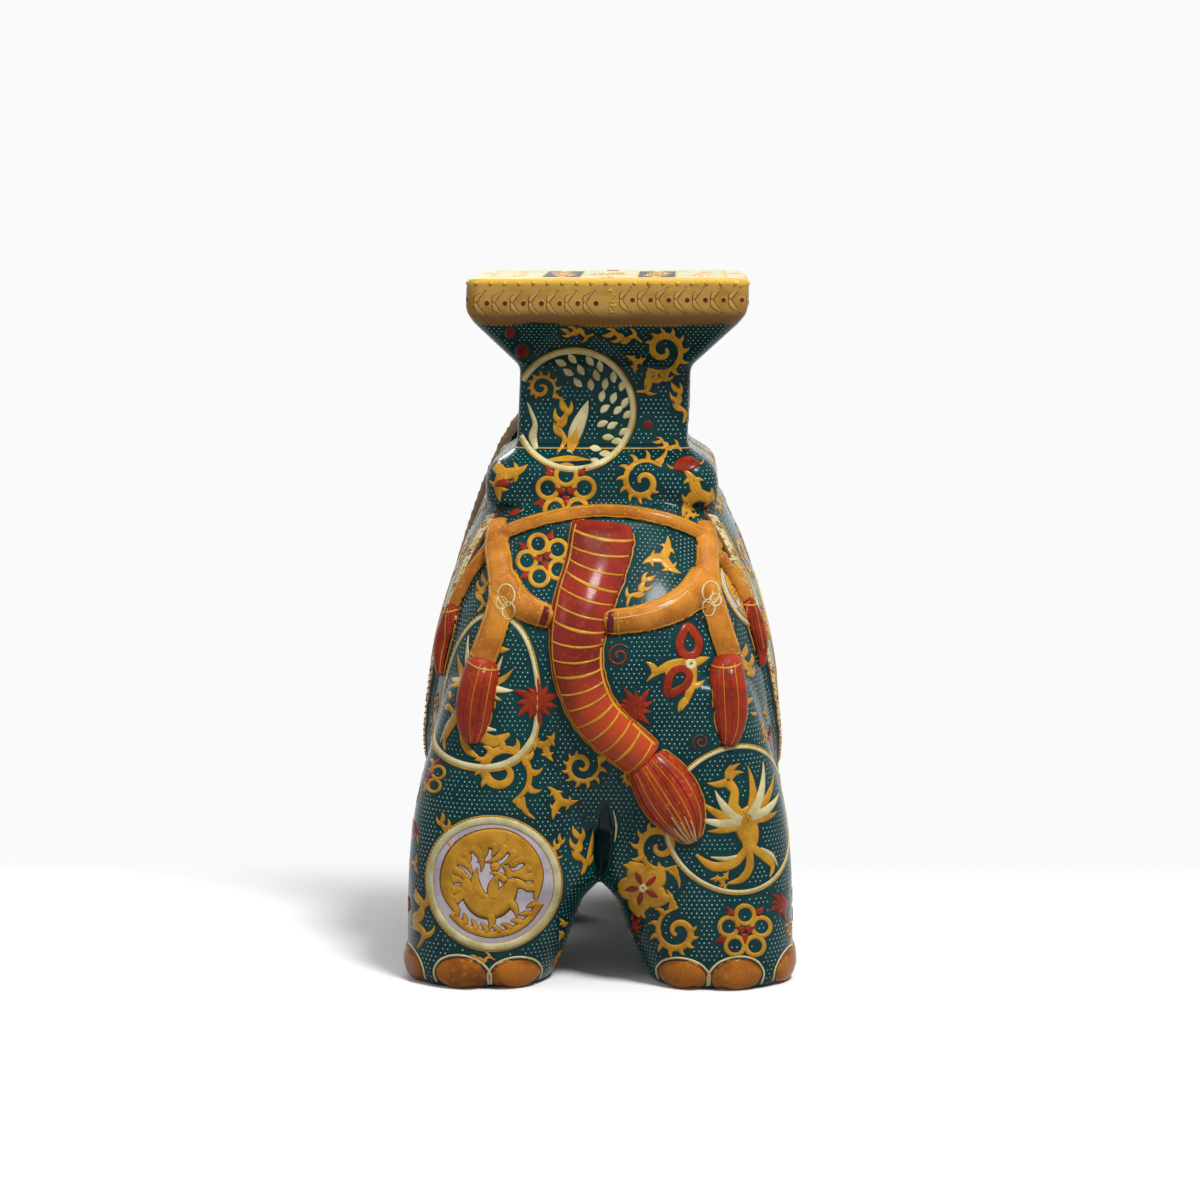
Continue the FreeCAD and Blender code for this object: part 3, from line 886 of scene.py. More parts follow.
def featherRows():
    # small teardrop feathers in arcs round the right of a medallion
    marks = []
    for radius, first, last, step in ((0.83, 100, -76, 16.0), (0.64, 92, -70, 20.0), (0.45, 74, -58, 27.0)):
        for i in range(int((first - last) / step) + 1):
            angle = first - i * step + 4 * (i % 2)
            x, y = polar(radius + 0.02 * (i % 3), angle)
            lean = angle + 70 - 14 * (i % 2)
            marks.append(feather("cream", x, y, lean, 0.21, 0.066, -12))
            marks.append(feather("gold", x, y, lean, 0.11, 0.045, -8))
    return marks


def flameBird():
    # medallion picture: a bird under a flaming canopy
    canopy = ((212, 0.03), (180, 0.09), (150, 0.14), (120, 0.17), (90, 0.15), (60, 0.13), (30, 0.11), (0, 0.10),
              (-30, 0.03))
    body = [(-0.3, 0.0, 0.07), (-0.2, -0.16, 0.14), (0.0, -0.3, 0.2), (0.22, -0.26, 0.19), (0.36, -0.02, 0.12),
            (0.34, 0.2, 0.03)]
    floor = [(*polar(0.74, a), 0.05) for a in (215, 240, 265, 290, 315, 335)]
    lines = ([(*polar(0.66, a), w) for a, w in canopy], floor, body)
    marks = [("gold", rows, False) for rows in lines]
    for i in range(15):
        angle = 196 - 15 * i
        marks += flames("gold", (*polar(0.60, angle), angle + 150 + 20 * (i % 2), 0.2 + 0.09 * (i % 3), 0.07, 40))
    for i in range(9):
        angle = 218 + 14 * i
        marks += flames("gold", (*polar(0.72, angle), angle + 170, 0.17, 0.05, -30))
    marks += flames("gold", (-0.3, -0.04, 196, 0.26, 0.08, 20), (-0.28, 0.04, 96, 0.24, 0.06, -30),
                    (-0.2, 0.0, 72, 0.26, 0.06, -30), (0.02, -0.22, 86, 0.4, 0.1, 30),
                    (0.2, -0.18, 66, 0.46, 0.1, 30), (-0.18, -0.3, 226, 0.26, 0.07, 30),
                    (0.12, -0.42, 250, 0.24, 0.07, 40))
    for x, y in ((-0.36, 0.24), (-0.1, 0.24), (-0.44, 0.06)):
        marks.append(("gold", ringRows(x, y, 0.03, 0.03, 0.04, 8), True))
    return marks


motifs = {make.__name__: make() for make in (
    flameScroll, starLeaf, flameBranch, ringFlower, burst, keyFlower, fruit, spiralEye, bloom, phoenix, featherRows,
    flameBird)}
layer = 0.15  # what is painted on gold or on an outline stands this much higher


def put(chart, kind, u=0.0, v=0.0, size=10.0, turn=0.0, flip=1, lift=0.0, recolour=None, outline=0.0):
    c, s = polar(size, turn)
    for under in ((True, False) if outline else (False,)):
        for colour, rows, closed in motifs[kind]:
            extra = outline if under else 0.0
            moved = [(u + flip * x * c - y * s, v + flip * x * s + y * c, w * size + extra) for x, y, w in rows]
            tone = "brown" if under else (recolour or {}).get(colour, colour)
            rise = lift + (layer if outline and not under else 0.0) + (layer if colour != "gold" else 0.0)
            bag(tone).stroke(chart, moved, 0.25 if under else 0.4, rise, closed)


def roundel(chart, u, v, size, field=None, rimHalf=1.6, bird=True, turn=0.0, flip=1):
    # medallion: a ring with a gold line and beads outside it, a field of colour or none, and a bird
    lift = 0.0
    if field:
        bag(field).disc(chart, u, v, size + rimHalf * 0.6, size + rimHalf * 0.6)
        lift = 0.3
    bag("cream").stroke(chart, ringRows(u, v, size, size, rimHalf, 28), 0.55, lift, True)
    outer = ringRows(u, v, size + rimHalf + 0.3, size + rimHalf + 0.3, 0.5, 28)
    bag("gold").stroke(chart, outer, 0.4, 0.0, True)
    beadLine("bright", chart, [row[:2] for row in outer[2:19]], 2.6, 0.55, 0.5, 0.3)
    if bird and field:
        put(chart, "flameBird", u, v, size * 1.08, turn, flip, lift, None, 0.45 if size > 25 else 0.3)
    elif bird:
        put(chart, "phoenix", u, v, size * 0.95, turn, flip, lift)


def beadLine(colour, chart, rows, pitch, radius, height, lift=0.0):
    # beads in a row along a line of u, v
    line = smoothLine([(u, v, 0.0) for u, v in rows], False, 0.4)
    since = pitch
    for first, second in zip(line, line[1:]):
        since += math.dist(first[:2], second[:2])
        if since >= pitch:
            since = 0.0
            hit = land(chart, first[0], first[1])
            if hit:
                covered.add(cellOf(hit[0]))
                bag(colour).bead(hit[0] + hit[1] * lift * mm, hit[1], radius, height, 6, 2)


# rump, pedestal and legs as painted on the side that the photograph shows: picture x, y, size, turn, flip
rearPaint = {
    "flameScroll": [(663, 350, 15.5, -20, 1), (541, 388, 10.0, 70, 1), (643, 482, 15.5, 150, 1),
        (502, 772, 21.0, 40, 1), (581, 766, 13.0, 100, -1), (633, 778, 9.0, 60, 1), (660, 846, 17.0, 20, -1),
        (678, 932, 16.0, 200, 1)],
    "flameBranch": [(622, 338, 13.0, 78, 1), (577, 332, 11.0, 84, -1), (655, 380, 14.0, -58, 1),
        (678, 402, 14.0, 14, 1), (667, 446, 10.0, 70, 1), (641, 590, 14.0, -40, -1), (578, 850, 16.0, 8, 1),
        (418, 918, 19.0, 0, 1), (481, 960, 9.0, 90, 1), (447, 700, 15.0, 8, 1), (481, 592, 13.0, -10, 1),
        (748, 668, 16.0, 10, -1), (720, 548, 10.0, 20, 1), (447, 830, 12.0, 20, -1), (556, 848, 10.0, -20, 1)],
    "starLeaf": [(636, 362, 8.0, 30, 1), (503, 474, 19.0, 25, 1), (697, 494, 19.0, 0, 1),
        (663, 558, 15.5, 200, 1), (545, 746, 12.0, 60, 1), (560, 802, 13.0, 10, 1), (757, 706, 12.0, 40, 1),
        (566, 930, 9.0, 0, 1), (466, 545, 11.0, 20, 1), (690, 514, 7.0, 0, 1), (560, 644, 7.0, 20, 1),
        (722, 880, 8.0, 60, 1)],
    "fruit": [(503, 484, 7.0, 15, 1), (687, 466, 12.0, 14, 1), (713, 468, 8.5, -60, 1)],
    "ringFlower": [(566, 494, 21.0, 0, 1), (544, 560, 19.0, 20, 1), (745, 932, 19.0, 0, 1),
        (427, 776, 13.0, 0, 1)],
    "burst": [(536, 702, 18.0, 10, 1), (634, 708, 16.0, 40, 1), (629, 927, 12.0, 30, 1),
        (784, 904, 12.0, 0, 1)],
    "keyFlower": [(691, 664, 23.0, 0, 1)],
    "spiralEye": [(619, 656, 8.0, 0, 1), (701, 742, 5.5, 90, -1)],
    "bloom": [(643, 888, 19.0, 12, 1)],
}
rearRoundels = [
    {"x": 492, "y": 884, "size": 41.0, "field": "lavender", "rimHalf": 2.6, "turn": 12, "flip": -1},
    {"x": 742, "y": 820, "size": 46.0, "rimHalf": 1.3},
    {"x": 476, "y": 683, "size": 40.0, "rimHalf": 1.5, "flip": -1},
    {"x": 741, "y": 592, "size": 22.0, "field": "lavender", "rimHalf": 1.2},
]
# colour, rows of u, v and half width, height and lift
columnPaint = [
    ("cream", [(-24.0, -25.0, 1.6), (-26.5, -17.0, 3.0), (-25.0, -9.0, 1.8), (-28.0, 0.0, 1.2), (-30.0, 5.0, 0.2)],
     0.4, 0.0),
    ("cream", [(-3.0, -27.0, 2.0), (1.0, -14.0, 5.0), (6.0, -2.0, 3.5), (9.0, 6.0, 0.2)], 0.4, 0.0),
    ("gold", [(-2.5, -26.0, 2.6), (-0.5, -20.0, 4.2), (1.0, -15.0, 2.0), (2.0, -11.0, 0.2)], 0.4, 0.15),
    ("gold", [(-22.0, -33.0, 0.3), (-4.0, -31.0, 2.2), (10.0, -32.0, 0.3)], 0.4, 0.0),
]
# painted shade and painted highlight where the column meets the pad: a dark line in the crease and a pale ochre
# line just below it
columnCreaseShadeAndHighlight = [
    ("paintedShade", [(-55.0, 340.6, 0.7), (0.0, 340.4, 0.8), (55.0, 340.6, 0.7)], 0.06, 0.0),
    ("leaf", [(-57.0, 338.4, 0.35), (0.0, 338.2, 0.45), (57.0, 338.4, 0.35)], 0.2, 0.0),
]
# painted shade in the cleft between the hind legs: a dark streak, with a cream and a gold line beside it
cleftPaintedShadeAndLines = [
    ("paintedShade", [(1.0, 27.0, 0.8), (0.5, 17.0, 3.8), (0.0, 2.0, 6.0), (-1.0, -14.0, 4.6), (-2.0, -20.0, 1.0)],
     0.2, 0.0),
    ("cream", [(6.0, 22.0, 0.3), (8.0, 12.0, 0.7), (7.0, 2.0, 0.2)], 0.4, 0.2),
    ("gold", [(-7.0, 10.0, 0.3), (-9.0, -4.0, 1.6), (-13.0, -18.0, 0.3)], 0.4, 0.2),
]
rearSpots = ((522, 351, 5.5), (510, 333, 4.0), (648, 425, 3.5), (553, 621, 4.0), (640, 617, 3.5))


def brushAll(chart, table):
    for colour, rows, height, lift in table:
        bag(colour).stroke(chart, rows, height, lift)


def pedestalSides(x):
    for turn in range(4):
        out = Vector((-math.sin(turn * math.pi / 2), -math.cos(turn * math.pi / 2), 0))
        yield WallChart((x, trayLook["y"], 0.0), out)


def paintRear():
    for kind, rows in rearPaint.items():
        for x, y, size, turn, flip in rows:
            put(PhotoChart(x, y), kind, 0, 0, size, turn, flip)
    for kind in rearRoundels:
        chart = WallChart(*land(PhotoChart(kind["x"], kind["y"]), 0, 0))
        roundel(chart, 0, 0, kind["size"], kind.get("field"), kind["rimHalf"], turn=kind.get("turn", 0),
                flip=kind.get("flip", 1))
    column = held(PhotoChart(574, 410), 52.0)
    roundel(column, 0, 0, 37.5, None, 1.8, False)
    put(column, "featherRows", 0.5, -1.0, 37.0)
    put(column, "flameBranch", -8.5, -9.0, 18.0, -6, 1)
    brushAll(column, columnPaint)
    for side in pedestalSides(0.0):
        brushAll(side, columnCreaseShadeAndHighlight)
    brushAll(PhotoChart(604, 845), cleftPaintedShadeAndLines)
    for x, y, size in rearSpots:
        bag("maroon").disc(PhotoChart(x, y), 0, 0, size, size, 0.3, sectors=16, rounds=4)


paintRear()
print("rear painted")

# tray: leaf pairs with a red dot run round the band, beads along its upper edge
trayBorder = {"count": 15, "middle": 436.0, "pitch": 11.65, "shift": 2.0, "dot": 2.0, "halo": 2.7, "dotAt": 2.2,
              "seam": (3.0, 5.0), "step": 2.2}  # the rows meet at the seam, a step apart
topSink = -0.2  # paint on the tray's top lies in its let-in field


def paintTray():
    for chart in pedestalSides(trayLook["x"]):
        for i in range(trayBorder["count"]):
            u = (i - trayBorder["count"] // 2) * trayBorder["pitch"] + trayBorder["shift"]
            if abs(u - trayBorder["seam"][0]) < trayBorder["seam"][1]:
                continue
            v = trayBorder["middle"] - (trayBorder["step"] if u < 0 else 0.0)
            for side in (1, -1):
                bag("leaf").stroke(chart, [(u - 5.6, v + side * 0.3, 0.4), (u - 3.8, v + side * 4.4, 2.0),
                                           (u + 1.8, v + side * 8.4, 0.1)], 0.12)
                for start, belly, half in ((-6.0, -5.6, 0.30), (-4.4, -1.5, 0.24)):
                    bag("brown").stroke(chart, [(u + start, v, half), (u + belly, v + side * 4.3, half),
                                                (u + 1.9, v + side * 8.6, 0.15)], 0.16, 0.05)
            halo, dot, at = trayBorder["halo"], trayBorder["dot"], u + trayBorder["dotAt"]
            bag("leaf").disc(chart, at, v, halo, halo, 0.14, sectors=14, rounds=3)
            bag("maroon").disc(chart, at, v, dot, dot, 0.28, 0.12, 12, 3)
        for i in range(5):
            put(chart, "starLeaf", 2.0 + 1.5 * (i % 2), 428.5 + i * 3.4, 2.6, i * 50, recolour={"gold": "bright"})
        beadLine("bright", chart, [(-84.0, 446.3), (0.0, 446.6), (84.0, 446.3)], 9.0, 1.5, 1.0)
    top = WallChart((trayLook["x"], trayLook["y"], 0.3), (0, 0, 1), up=(0, 1, 0))
    put(top, "ringFlower", 0, 0, 13.5, 0, 1, topSink)
    for side in (-1, 1):
        put(top, "ringFlower", side * 31, 0, 10.0, 0, 1, topSink)
        put(top, "starLeaf", side * 60, 0, 10.0, 90 - 90 * side, 1, topSink)
        put(top, "flameBranch", 0, side * 42, 17.0, 90 - 90 * side, 1, topSink)
        for end in (-1, 1):
            for kind, u, v, size in (("flameScroll", 31, 26, 9.0), ("flameBranch", 31, 52, 10.0),
                                     ("flameBranch", 60, 40, 15.0)):
                put(top, kind, side * u, end * v, size, 90 - 90 * end, side, topSink)


region = "tray"
paintTray()
print("tray painted")

# harness, tail and tassels; rows are x, z and half width in millimetres, as on the fired relief
def fromBehind(turn):
    # sheets that look at the relief from behind, turned towards one flank or not at all
    out = (math.sin(math.radians(turn)), -math.cos(math.radians(turn)), 0)
    return {name: WallChart((0, -0.1, 0), out, surface) for name, surface in tops.items()}


flank = {"turn": 52, "from": 88}  # bands that end further out than this are painted from the flank
sheets = {turn: fromBehind(turn) for turn in (0, -flank["turn"], flank["turn"])}
backChart = sheets[0]
straps = {
    "loops": [[(-60.5, 259, 9.5), (-55.5, 249, 10.5), (-46, 242, 9.8), (-31, 237, 8.3), (-16, 235.4, 8)],
              [(65, 261, 9.5), (59.5, 250.5, 11), (49, 243, 11), (33, 237.5, 10.2), (14, 234.5, 9.4),
               (2, 234.5, 8.8)]],
    "drops": [[(-65, 288, 8), (-65, 276, 10), (-62, 260, 10), (-61.5, 248, 10)],
              [(65.5, 287, 8), (67, 275, 9.5), (67, 260, 10), (69, 248, 10)]],
    "top": [[(-60, 285, 6), (-45, 291, 6.5), (-22, 296.5, 6.5), (2, 298.5, 6.5), (27, 296.5, 6.5), (50, 290.5, 6.5),
             (64, 283, 6)]],
    "cords": [[(-61.5, 241, 10.5), (-66, 226, 11), (-72.5, 208, 11.5)],
              [(71, 241, 10), (75.5, 226, 10.5), (80.5, 209, 11)],
              [(-69, 276, 6.5), (-81, 260, 6.5), (-93, 237, 6.5)],
              [(76, 267, 6.5), (83.5, 257, 6.5), (92, 241, 6.5)]],
    "tassels": [[(-72.5, 208, 11), (-77, 187, 13), (-79, 170, 11), (-79.5, 159, 5)],
                [(80.5, 209, 10.5), (82, 187, 12.5), (82.5, 170, 10.5), (81, 158, 5)],
                [(-93, 237, 7), (-98, 220, 8.5), (-101.5, 204, 7), (-102.5, 194, 3.5)],
                [(92, 241, 7), (97.5, 226, 8.5), (101.5, 210, 7), (103, 200, 3.5)]],
}
tailLine = [(3, 290, 21), (2, 284, 21.5), (-1, 268, 21), (-8, 248, 20), (-13.5, 224, 17.5),
            (-11.5, 200, 16), (-2, 178, 15.5), (14.5, 161, 15), (30, 148, 13.5)]
tuftLine = [(30, 148, 13.5), (42, 131, 19), (53, 113, 16), (60, 97, 5)]


def flankTurn(rows):
    x = rows[-1][0]
    return 0 if abs(x) < flank["from"] else math.copysign(flank["turn"], x)


def sideRows(rows, turn, name):
    # the same rows on a sheet that is turned towards the flank
    if not turn:
        return rows
    made = []
    for x, z, half in rows:
        hit = land(backChart[name], x, z)
        if hit:
            made.append((*sheets[turn][name].flat(hit[0]), half))
    return made


def seenReach(front, under, x, z, side, wide):
    # how far a relief band is seen to one side of its middle line
    reach = wide * 0.3
    while reach < wide * 1.2:
        u, v = x + side[0] * reach, z + side[1] * reach
        hit, behind = land(front, u, v), land(under, u, v)
        if hit is None or (behind and (behind[0] - hit[0]).dot(front.out) > 0):
            break
        reach += 0.4
    return reach


def heading(line, i):
    before, after = line[max(i - 1, 0)], line[min(i + 1, len(line) - 1)]
    dx, dz = after[0] - before[0], after[1] - before[1]
    size = math.hypot(dx, dz) or 1.0
    return dx / size, dz / size


def beside(rows, share, extra=0.0, half=0.4, front=None):
    # line that runs along a band at a share of its half width, or along its seen edge
    line = smoothLine(rows, False, 4.0)
    sign = 1 if share > 0 else -1
    moved = []
    for i, (x, z, wide) in enumerate(line):
        dx, dz = heading(line, i)
        if front:
            wide = seenReach(*front, x, z, (-dz * sign, dx * sign), wide)
        reach = wide * share + extra * sign
        moved.append((x - dz * reach, z + dx * reach, half))
    return moved


def across(rows, spot, share, bow, half):
    # line over a band, at a place along it
    line = smoothLine(rows, False, 1.0)
    i = min(len(line) - 2, max(1, round(spot * (len(line) - 1))))
    dx, dz = heading(line, i)
    x, z, wide = line[i]
    made = []
    for k in (-1.0, -0.6, 0.0, 0.6, 1.0):
        back = bow * (1 - k * k)
        made.append((x - dz * wide * share * k + dx * back, z + dx * wide * share * k + dz * back,
                     half * (1.0 - 0.35 * abs(k))))
    return made


def paintHarness():
    for name in ("loops", "drops", "top", "cords"):
        for band in straps[name]:
            turn = flankTurn(band)
            sheet, rows = sheets[turn], sideRows(band, turn, "harness")
            edge = (sheet["strapOnly"], sheet["ground"])
            for share in (-1, 1):
                bag("gold").stroke(sheet["strapOnly"], beside(rows, share, -1.1, 0.5, edge), 0.35)
    for rows, spot in ((straps["loops"][0], 0.64), (straps["loops"][1], 0.90)):
        bag("maroon").stroke(backChart["harness"], across(rows, spot, 0.92, 0.6, 2.6), 0.3)
        bag("gold").stroke(backChart["harness"], across(rows, spot - 0.05, 0.92, 0.6, 0.6), 0.4)
    # painted highlight: a thin cream line along the upper middle of the right loop
    bag("cream").stroke(backChart["harness"], beside(straps["loops"][1][1:], -0.42, 0.0, 0.28), 0.2)
    for x, y, flip in ((506, 603, 1), (711, 600, -1)):
        knot = PhotoChart(x, y, tops["harness"])
        for u, v, wide, tall in ((0.0, 5.0, 5.5, 7.0), (1.5 * flip, -5.0, 4.0, 5.5), (-3.0 * flip, 0.0, 3.5, 4.0)):
            bag("cream").stroke(knot, ringRows(u, v, wide, tall, 0.55), 0.4, 0.0, True)
        tie = [(-7 * flip, 8, 0.3), (-2 * flip, 2, 0.7), (2 * flip, -6, 0.6), (6 * flip, -12, 0.2)]
        bag("gold").stroke(knot, tie, 0.5)
    for band in straps["tassels"]:
        turn = flankTurn(band)
        sheet, rows = sheets[turn], sideRows(band, turn, "tassel")
        for share, tone in ((-0.55, "maroon"), (-0.2, "gold"), (0.18, "maroon"), (0.5, "gold")):
            bag(tone).stroke(sheet["tassel"], beside(rows, share, 0.0, 0.24), 0.22)
        for share in (-1, 1):
            edge = (sheet["tasselOnly"], sheet["ground"])
            bag("gold").stroke(sheet["tassel"], beside(rows, share, 0.2, 0.45, edge), 0.4)
        bag("gold").stroke(sheet["tassel"], across(rows, 0.04, 0.95, 1.5, 0.7), 0.45)


def paintTail():
    for i in range(17):
        spot = 0.03 + 0.058 * i
        bag("gold").stroke(backChart["tail"], across(tailLine, spot, 0.93, 2.0, 0.85 if i % 3 else 1.15), 0.35)
    for share, half in ((-0.9, 0.45), (0.9, 0.75)):
        bag("gold").stroke(backChart["tail"], beside(tailLine, share, 0.0, half), 0.35)
    streaks = ((-0.82, "maroon", 0.5), (-0.6, "orange", 0.4), (-0.42, "maroon", 0.3), (-0.22, "gold", 0.25),
               (-0.05, "orange", 0.5), (0.16, "maroon", 0.35), (0.34, "orange", 0.4), (0.55, "maroon", 0.5),
               (0.78, "orange", 0.35))
    for share, tone, half in streaks:
        bag(tone).stroke(backChart["tuft"], beside(tuftLine, share, 0.0, half), 0.2)
    for share, x, z, half in ((-0.6, 54, 110, 11), (-0.34, 51, 117, 15), (-0.08, 53, 112, 13), (0.2, 52, 114, 14),
                              (0.46, 54, 110, 11)):
        rows = [(x, z, half), (56.5, 105, 9.5), (60, 97.5, 4.5)]
        bag("cream").stroke(backChart["tuft"], beside(rows, share, 0.0, 0.4), 0.2)
    for share in (-1, 1):
        for name, rows in (("tail", tailLine), ("tuft", tuftLine)):
            edge = (backChart[name], backChart["ground"])
            bag("gold").stroke(backChart["ground"], beside(rows, share, 0.4, 0.55, edge), 0.6)


region = "relief"
paintHarness()
paintTail()
print("harness and tail painted")

# saddle blanket: cream hem with beads, a medallion and scrolls in its field; rows are y, z
blanketHem = {"rows": [(-108, 301), (-119, 255), (-114, 190), (-88, 138), (-40, 118), (8, 138), (34, 190),
                       (39, 255), (30, 301)],
              "middle": (-40, 222), "hem": 0.925, "rings": 22}


def paintBlanket(side):
    chart = WallChart((0.1 * side, 0, 0), (side, 0, 0))
    y0, z0 = blanketHem["middle"]

    def inward(share):
        return [(side * (y0 + (y - y0) * share), z0 + (z - z0) * share) for y, z in blanketHem["rows"]]

    for colour, share, half in (("hem", blanketHem["hem"], 5.6), ("brown", 0.99, 0.8), ("gold", 0.855, 0.9)):
        bag(colour).stroke(chart, [(u, v, half) for u, v in inward(share)], 0.5)
    beadLine("bright", chart, inward(0.968), 4.6, 0.95, 0.9, 0.4)
    beadLine("bright", chart, inward(0.885), 4.6, 0.8, 0.8, 0.4)
    line = smoothLine(inward(blanketHem["hem"]), False, 2.0)
    for i in range(blanketHem["rings"]):
        u, v = line[round((i + 0.5) / blanketHem["rings"] * (len(line) - 1))]
        bag("red").stroke(chart, ringRows(u, v, 2.0, 2.0, 0.5, 8), 0.35, 0.5, True)
    u0 = side * y0
    roundel(chart, u0, 214, 34, "lavender", 2.4, flip=side)
    for du, v, size, turn in ((-44, 268, 13, 30), (44, 268, 13, -30), (-46, 176, 12, 200), (46, 176, 12, 160)):
        put(chart, "flameScroll", u0 + du, v, size, turn, 1 if du > 0 else -1)
    for du, v, size in ((0, 270, 13), (-50, 222, 11), (50, 222, 11), (0, 156, 14)):
        put(chart, "ringFlower", u0 + du, v, size, 20)


def paintShoulder(side):
    # medallion on the outer side of the front leg
    chart = WallChart((0.1 * side, 0.028, 0.078), (side, 0, 0))
    roundel(chart, 0, 0, 30, None, 1.5, flip=side)


region = "flank"
for side in (-1, 1):
    paintBlanket(side)
    paintShoulder(side)
print("blanket painted")

# head: it looks a little to its left
headLook = {"out": Vector((-math.sin(math.radians(12)), math.cos(math.radians(12)), 0)), "brow": 0.60,
            "browTilt": 0.45, "eyeTurn": 0.012}
trunkRings = {"count": 14, "from": 0.10, "over": 0.66, "inset": 1.5, "fewest": 6}


def boxOf(name):
    return [Vector(corner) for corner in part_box(name)]


def paintFace():
    low, high = boxOf("head")
    middle, out = (low + high) / 2, headLook["out"]
    level = low.z + (high.z - low.z) * headLook["brow"]
    brow = WallChart((middle.x, middle.y, level), out + Vector((0, 0, headLook["browTilt"])))
    roundel(brow, 0, 6, 19, "lavender", 1.8)
    face = WallChart((middle.x, middle.y, 0), out)
    z = level * 1000
    for side in (-1, 1):
        rows = [(62 * side, z - 8, 3.2), (44 * side, z + 12, 3.2), (24 * side, z + 18, 3.2)]
        bag("orange").stroke(face, rows[::-side], 1.0)
    for name in reliefs["eyeSkin"][0]:
        a, b = boxOf(name)
        spot = (a + b) / 2
        eye = WallChart(spot, (spot.x - middle.x, spot.y - middle.y + headLook["eyeTurn"], 0))
        bag("cream").stroke(eye, ringRows(0, 0, 9.5, 6.8, 1.1, 12), 0.7, 0.0, True)
        bag("gold").stroke(eye, ringRows(0, 0, 11.6, 8.8, 0.6, 12), 0.5, 0.0, True)
        bag("gold").stroke(eye, [(-14, 8, 0.3), (-4, 14, 1.5), (8, 13, 1.2), (15, 8, 0.2)], 0.6)
        put(eye, "flameBranch", 0, -20, 9.0, 20)


def paintTrunk():
    a, b = boxOf("trunk")
    spot = Vector(((a.x + b.x) / 2, (a.y + b.y) / 2, 0))
    chart = WallChart(spot, headLook["out"], treeOf(nodes["trunk"]))
    skin = WallChart(spot, headLook["out"])
    for i in range(trunkRings["count"]):
        share = trunkRings["from"] + trunkRings["over"] * i / trunkRings["count"]
        v = (a.z + (b.z - a.z) * share) * 1000
        seen = [u for u in range(-60, 61, 2) if land(chart, u, v)]
        if len(seen) < trunkRings["fewest"]:
            continue
        left, right = seen[0] + trunkRings["inset"], seen[-1] - trunkRings["inset"]
        wide, mid = (right - left) / 2, (left + right) / 2
        bag("gold").stroke(skin, [(left, v + 3, 0.4), (mid - wide * 0.5, v, 1.0), (mid + wide * 0.5, v, 1.0),
                                  (right, v + 3, 0.4)], 0.6)


# the free edge of an ear: width, end and depth of the tan band, and the gold lines inside it
earEdge = {"band": 6.0, "soft": 1.2, "beyond": (-3.0, -1.5), "near": (0.0045, 0.0030), "proud": (0.0012, 0.0006),
           "free": (-0.008, 0.014), "crown": 0.6, "far": 0.12, "bare": 0.3, "lines": (7.0, 9.6), "step": 8.0}


def ramp(value, ends):
    return min(1.0, max(0.0, (value - ends[0]) / (ends[1] - ends[0])))


def earLead(away, along):
    # above nought on the free side of an ear, and on all of its crown
    return away.dot(along) + max(0.0, away.z) * earEdge["crown"]


def hullSides(hull):
    sides = []
    for (au, av), (bu, bv) in zip(hull, hull[1:] + hull[:1]):
        out = Vector((bv - av, au - bu)).normalized()
        reach = out.dot(Vector((au, av)))
        if reach:
            sides.append((out * (1 if reach > 0 else -1), abs(reach)))
    return sides


def edgeTone(chart, hull, along, rims):
    # hull is the outline of the ear on the chart
    sides = hullSides(hull)
    for name, values in rims.items():
        for vertex in shapes[name].data.vertices:
            away = vertex.co - chart.spot
            lead = earLead(away, along)
            if away.length > earEdge["far"] or lead < earEdge["free"][0]:
                continue
            spot, normal, index, far = chart.near.find_nearest(vertex.co)
            place = Vector(chart.flat(vertex.co))
            inside = min(reach - out.dot(place) for out, reach in sides)
            band = earEdge["band"] * ramp(lead, earEdge["free"])
            tone = ramp(inside, (band + earEdge["soft"], band)) * ramp(inside, earEdge["beyond"])
            tone *= ramp(far, earEdge["near"]) * ramp((vertex.co - spot).dot(normal), earEdge["proud"])
            values[vertex.index] = max(values[vertex.index], tone)
            if tone > earEdge["bare"]:
                covered.add(cellOf(vertex.co))


def edgeRun(hull, leads, inset):
    # the free run of the outline, moved inwards
    count = len(hull)
    start = next(i for i in range(count) if leads[i - 1] < 0 <= leads[i])
    line = []
    for i in range(start, start + count):
        if leads[i % count] < 0:
            break
        (au, av), (u, v), (bu, bv) = hull[(i - 1) % count], hull[i % count], hull[(i + 1) % count]
        out = Vector((bv - av, au - bu)).normalized()
        if out.dot(Vector((u, v))) < 0:
            out = -out
        spot = (u - out.x * inset, v - out.y * inset)
        if not line or math.dist(spot, line[-1][:2]) > earEdge["step"]:
            line.append((*spot, 0.6))
    return line


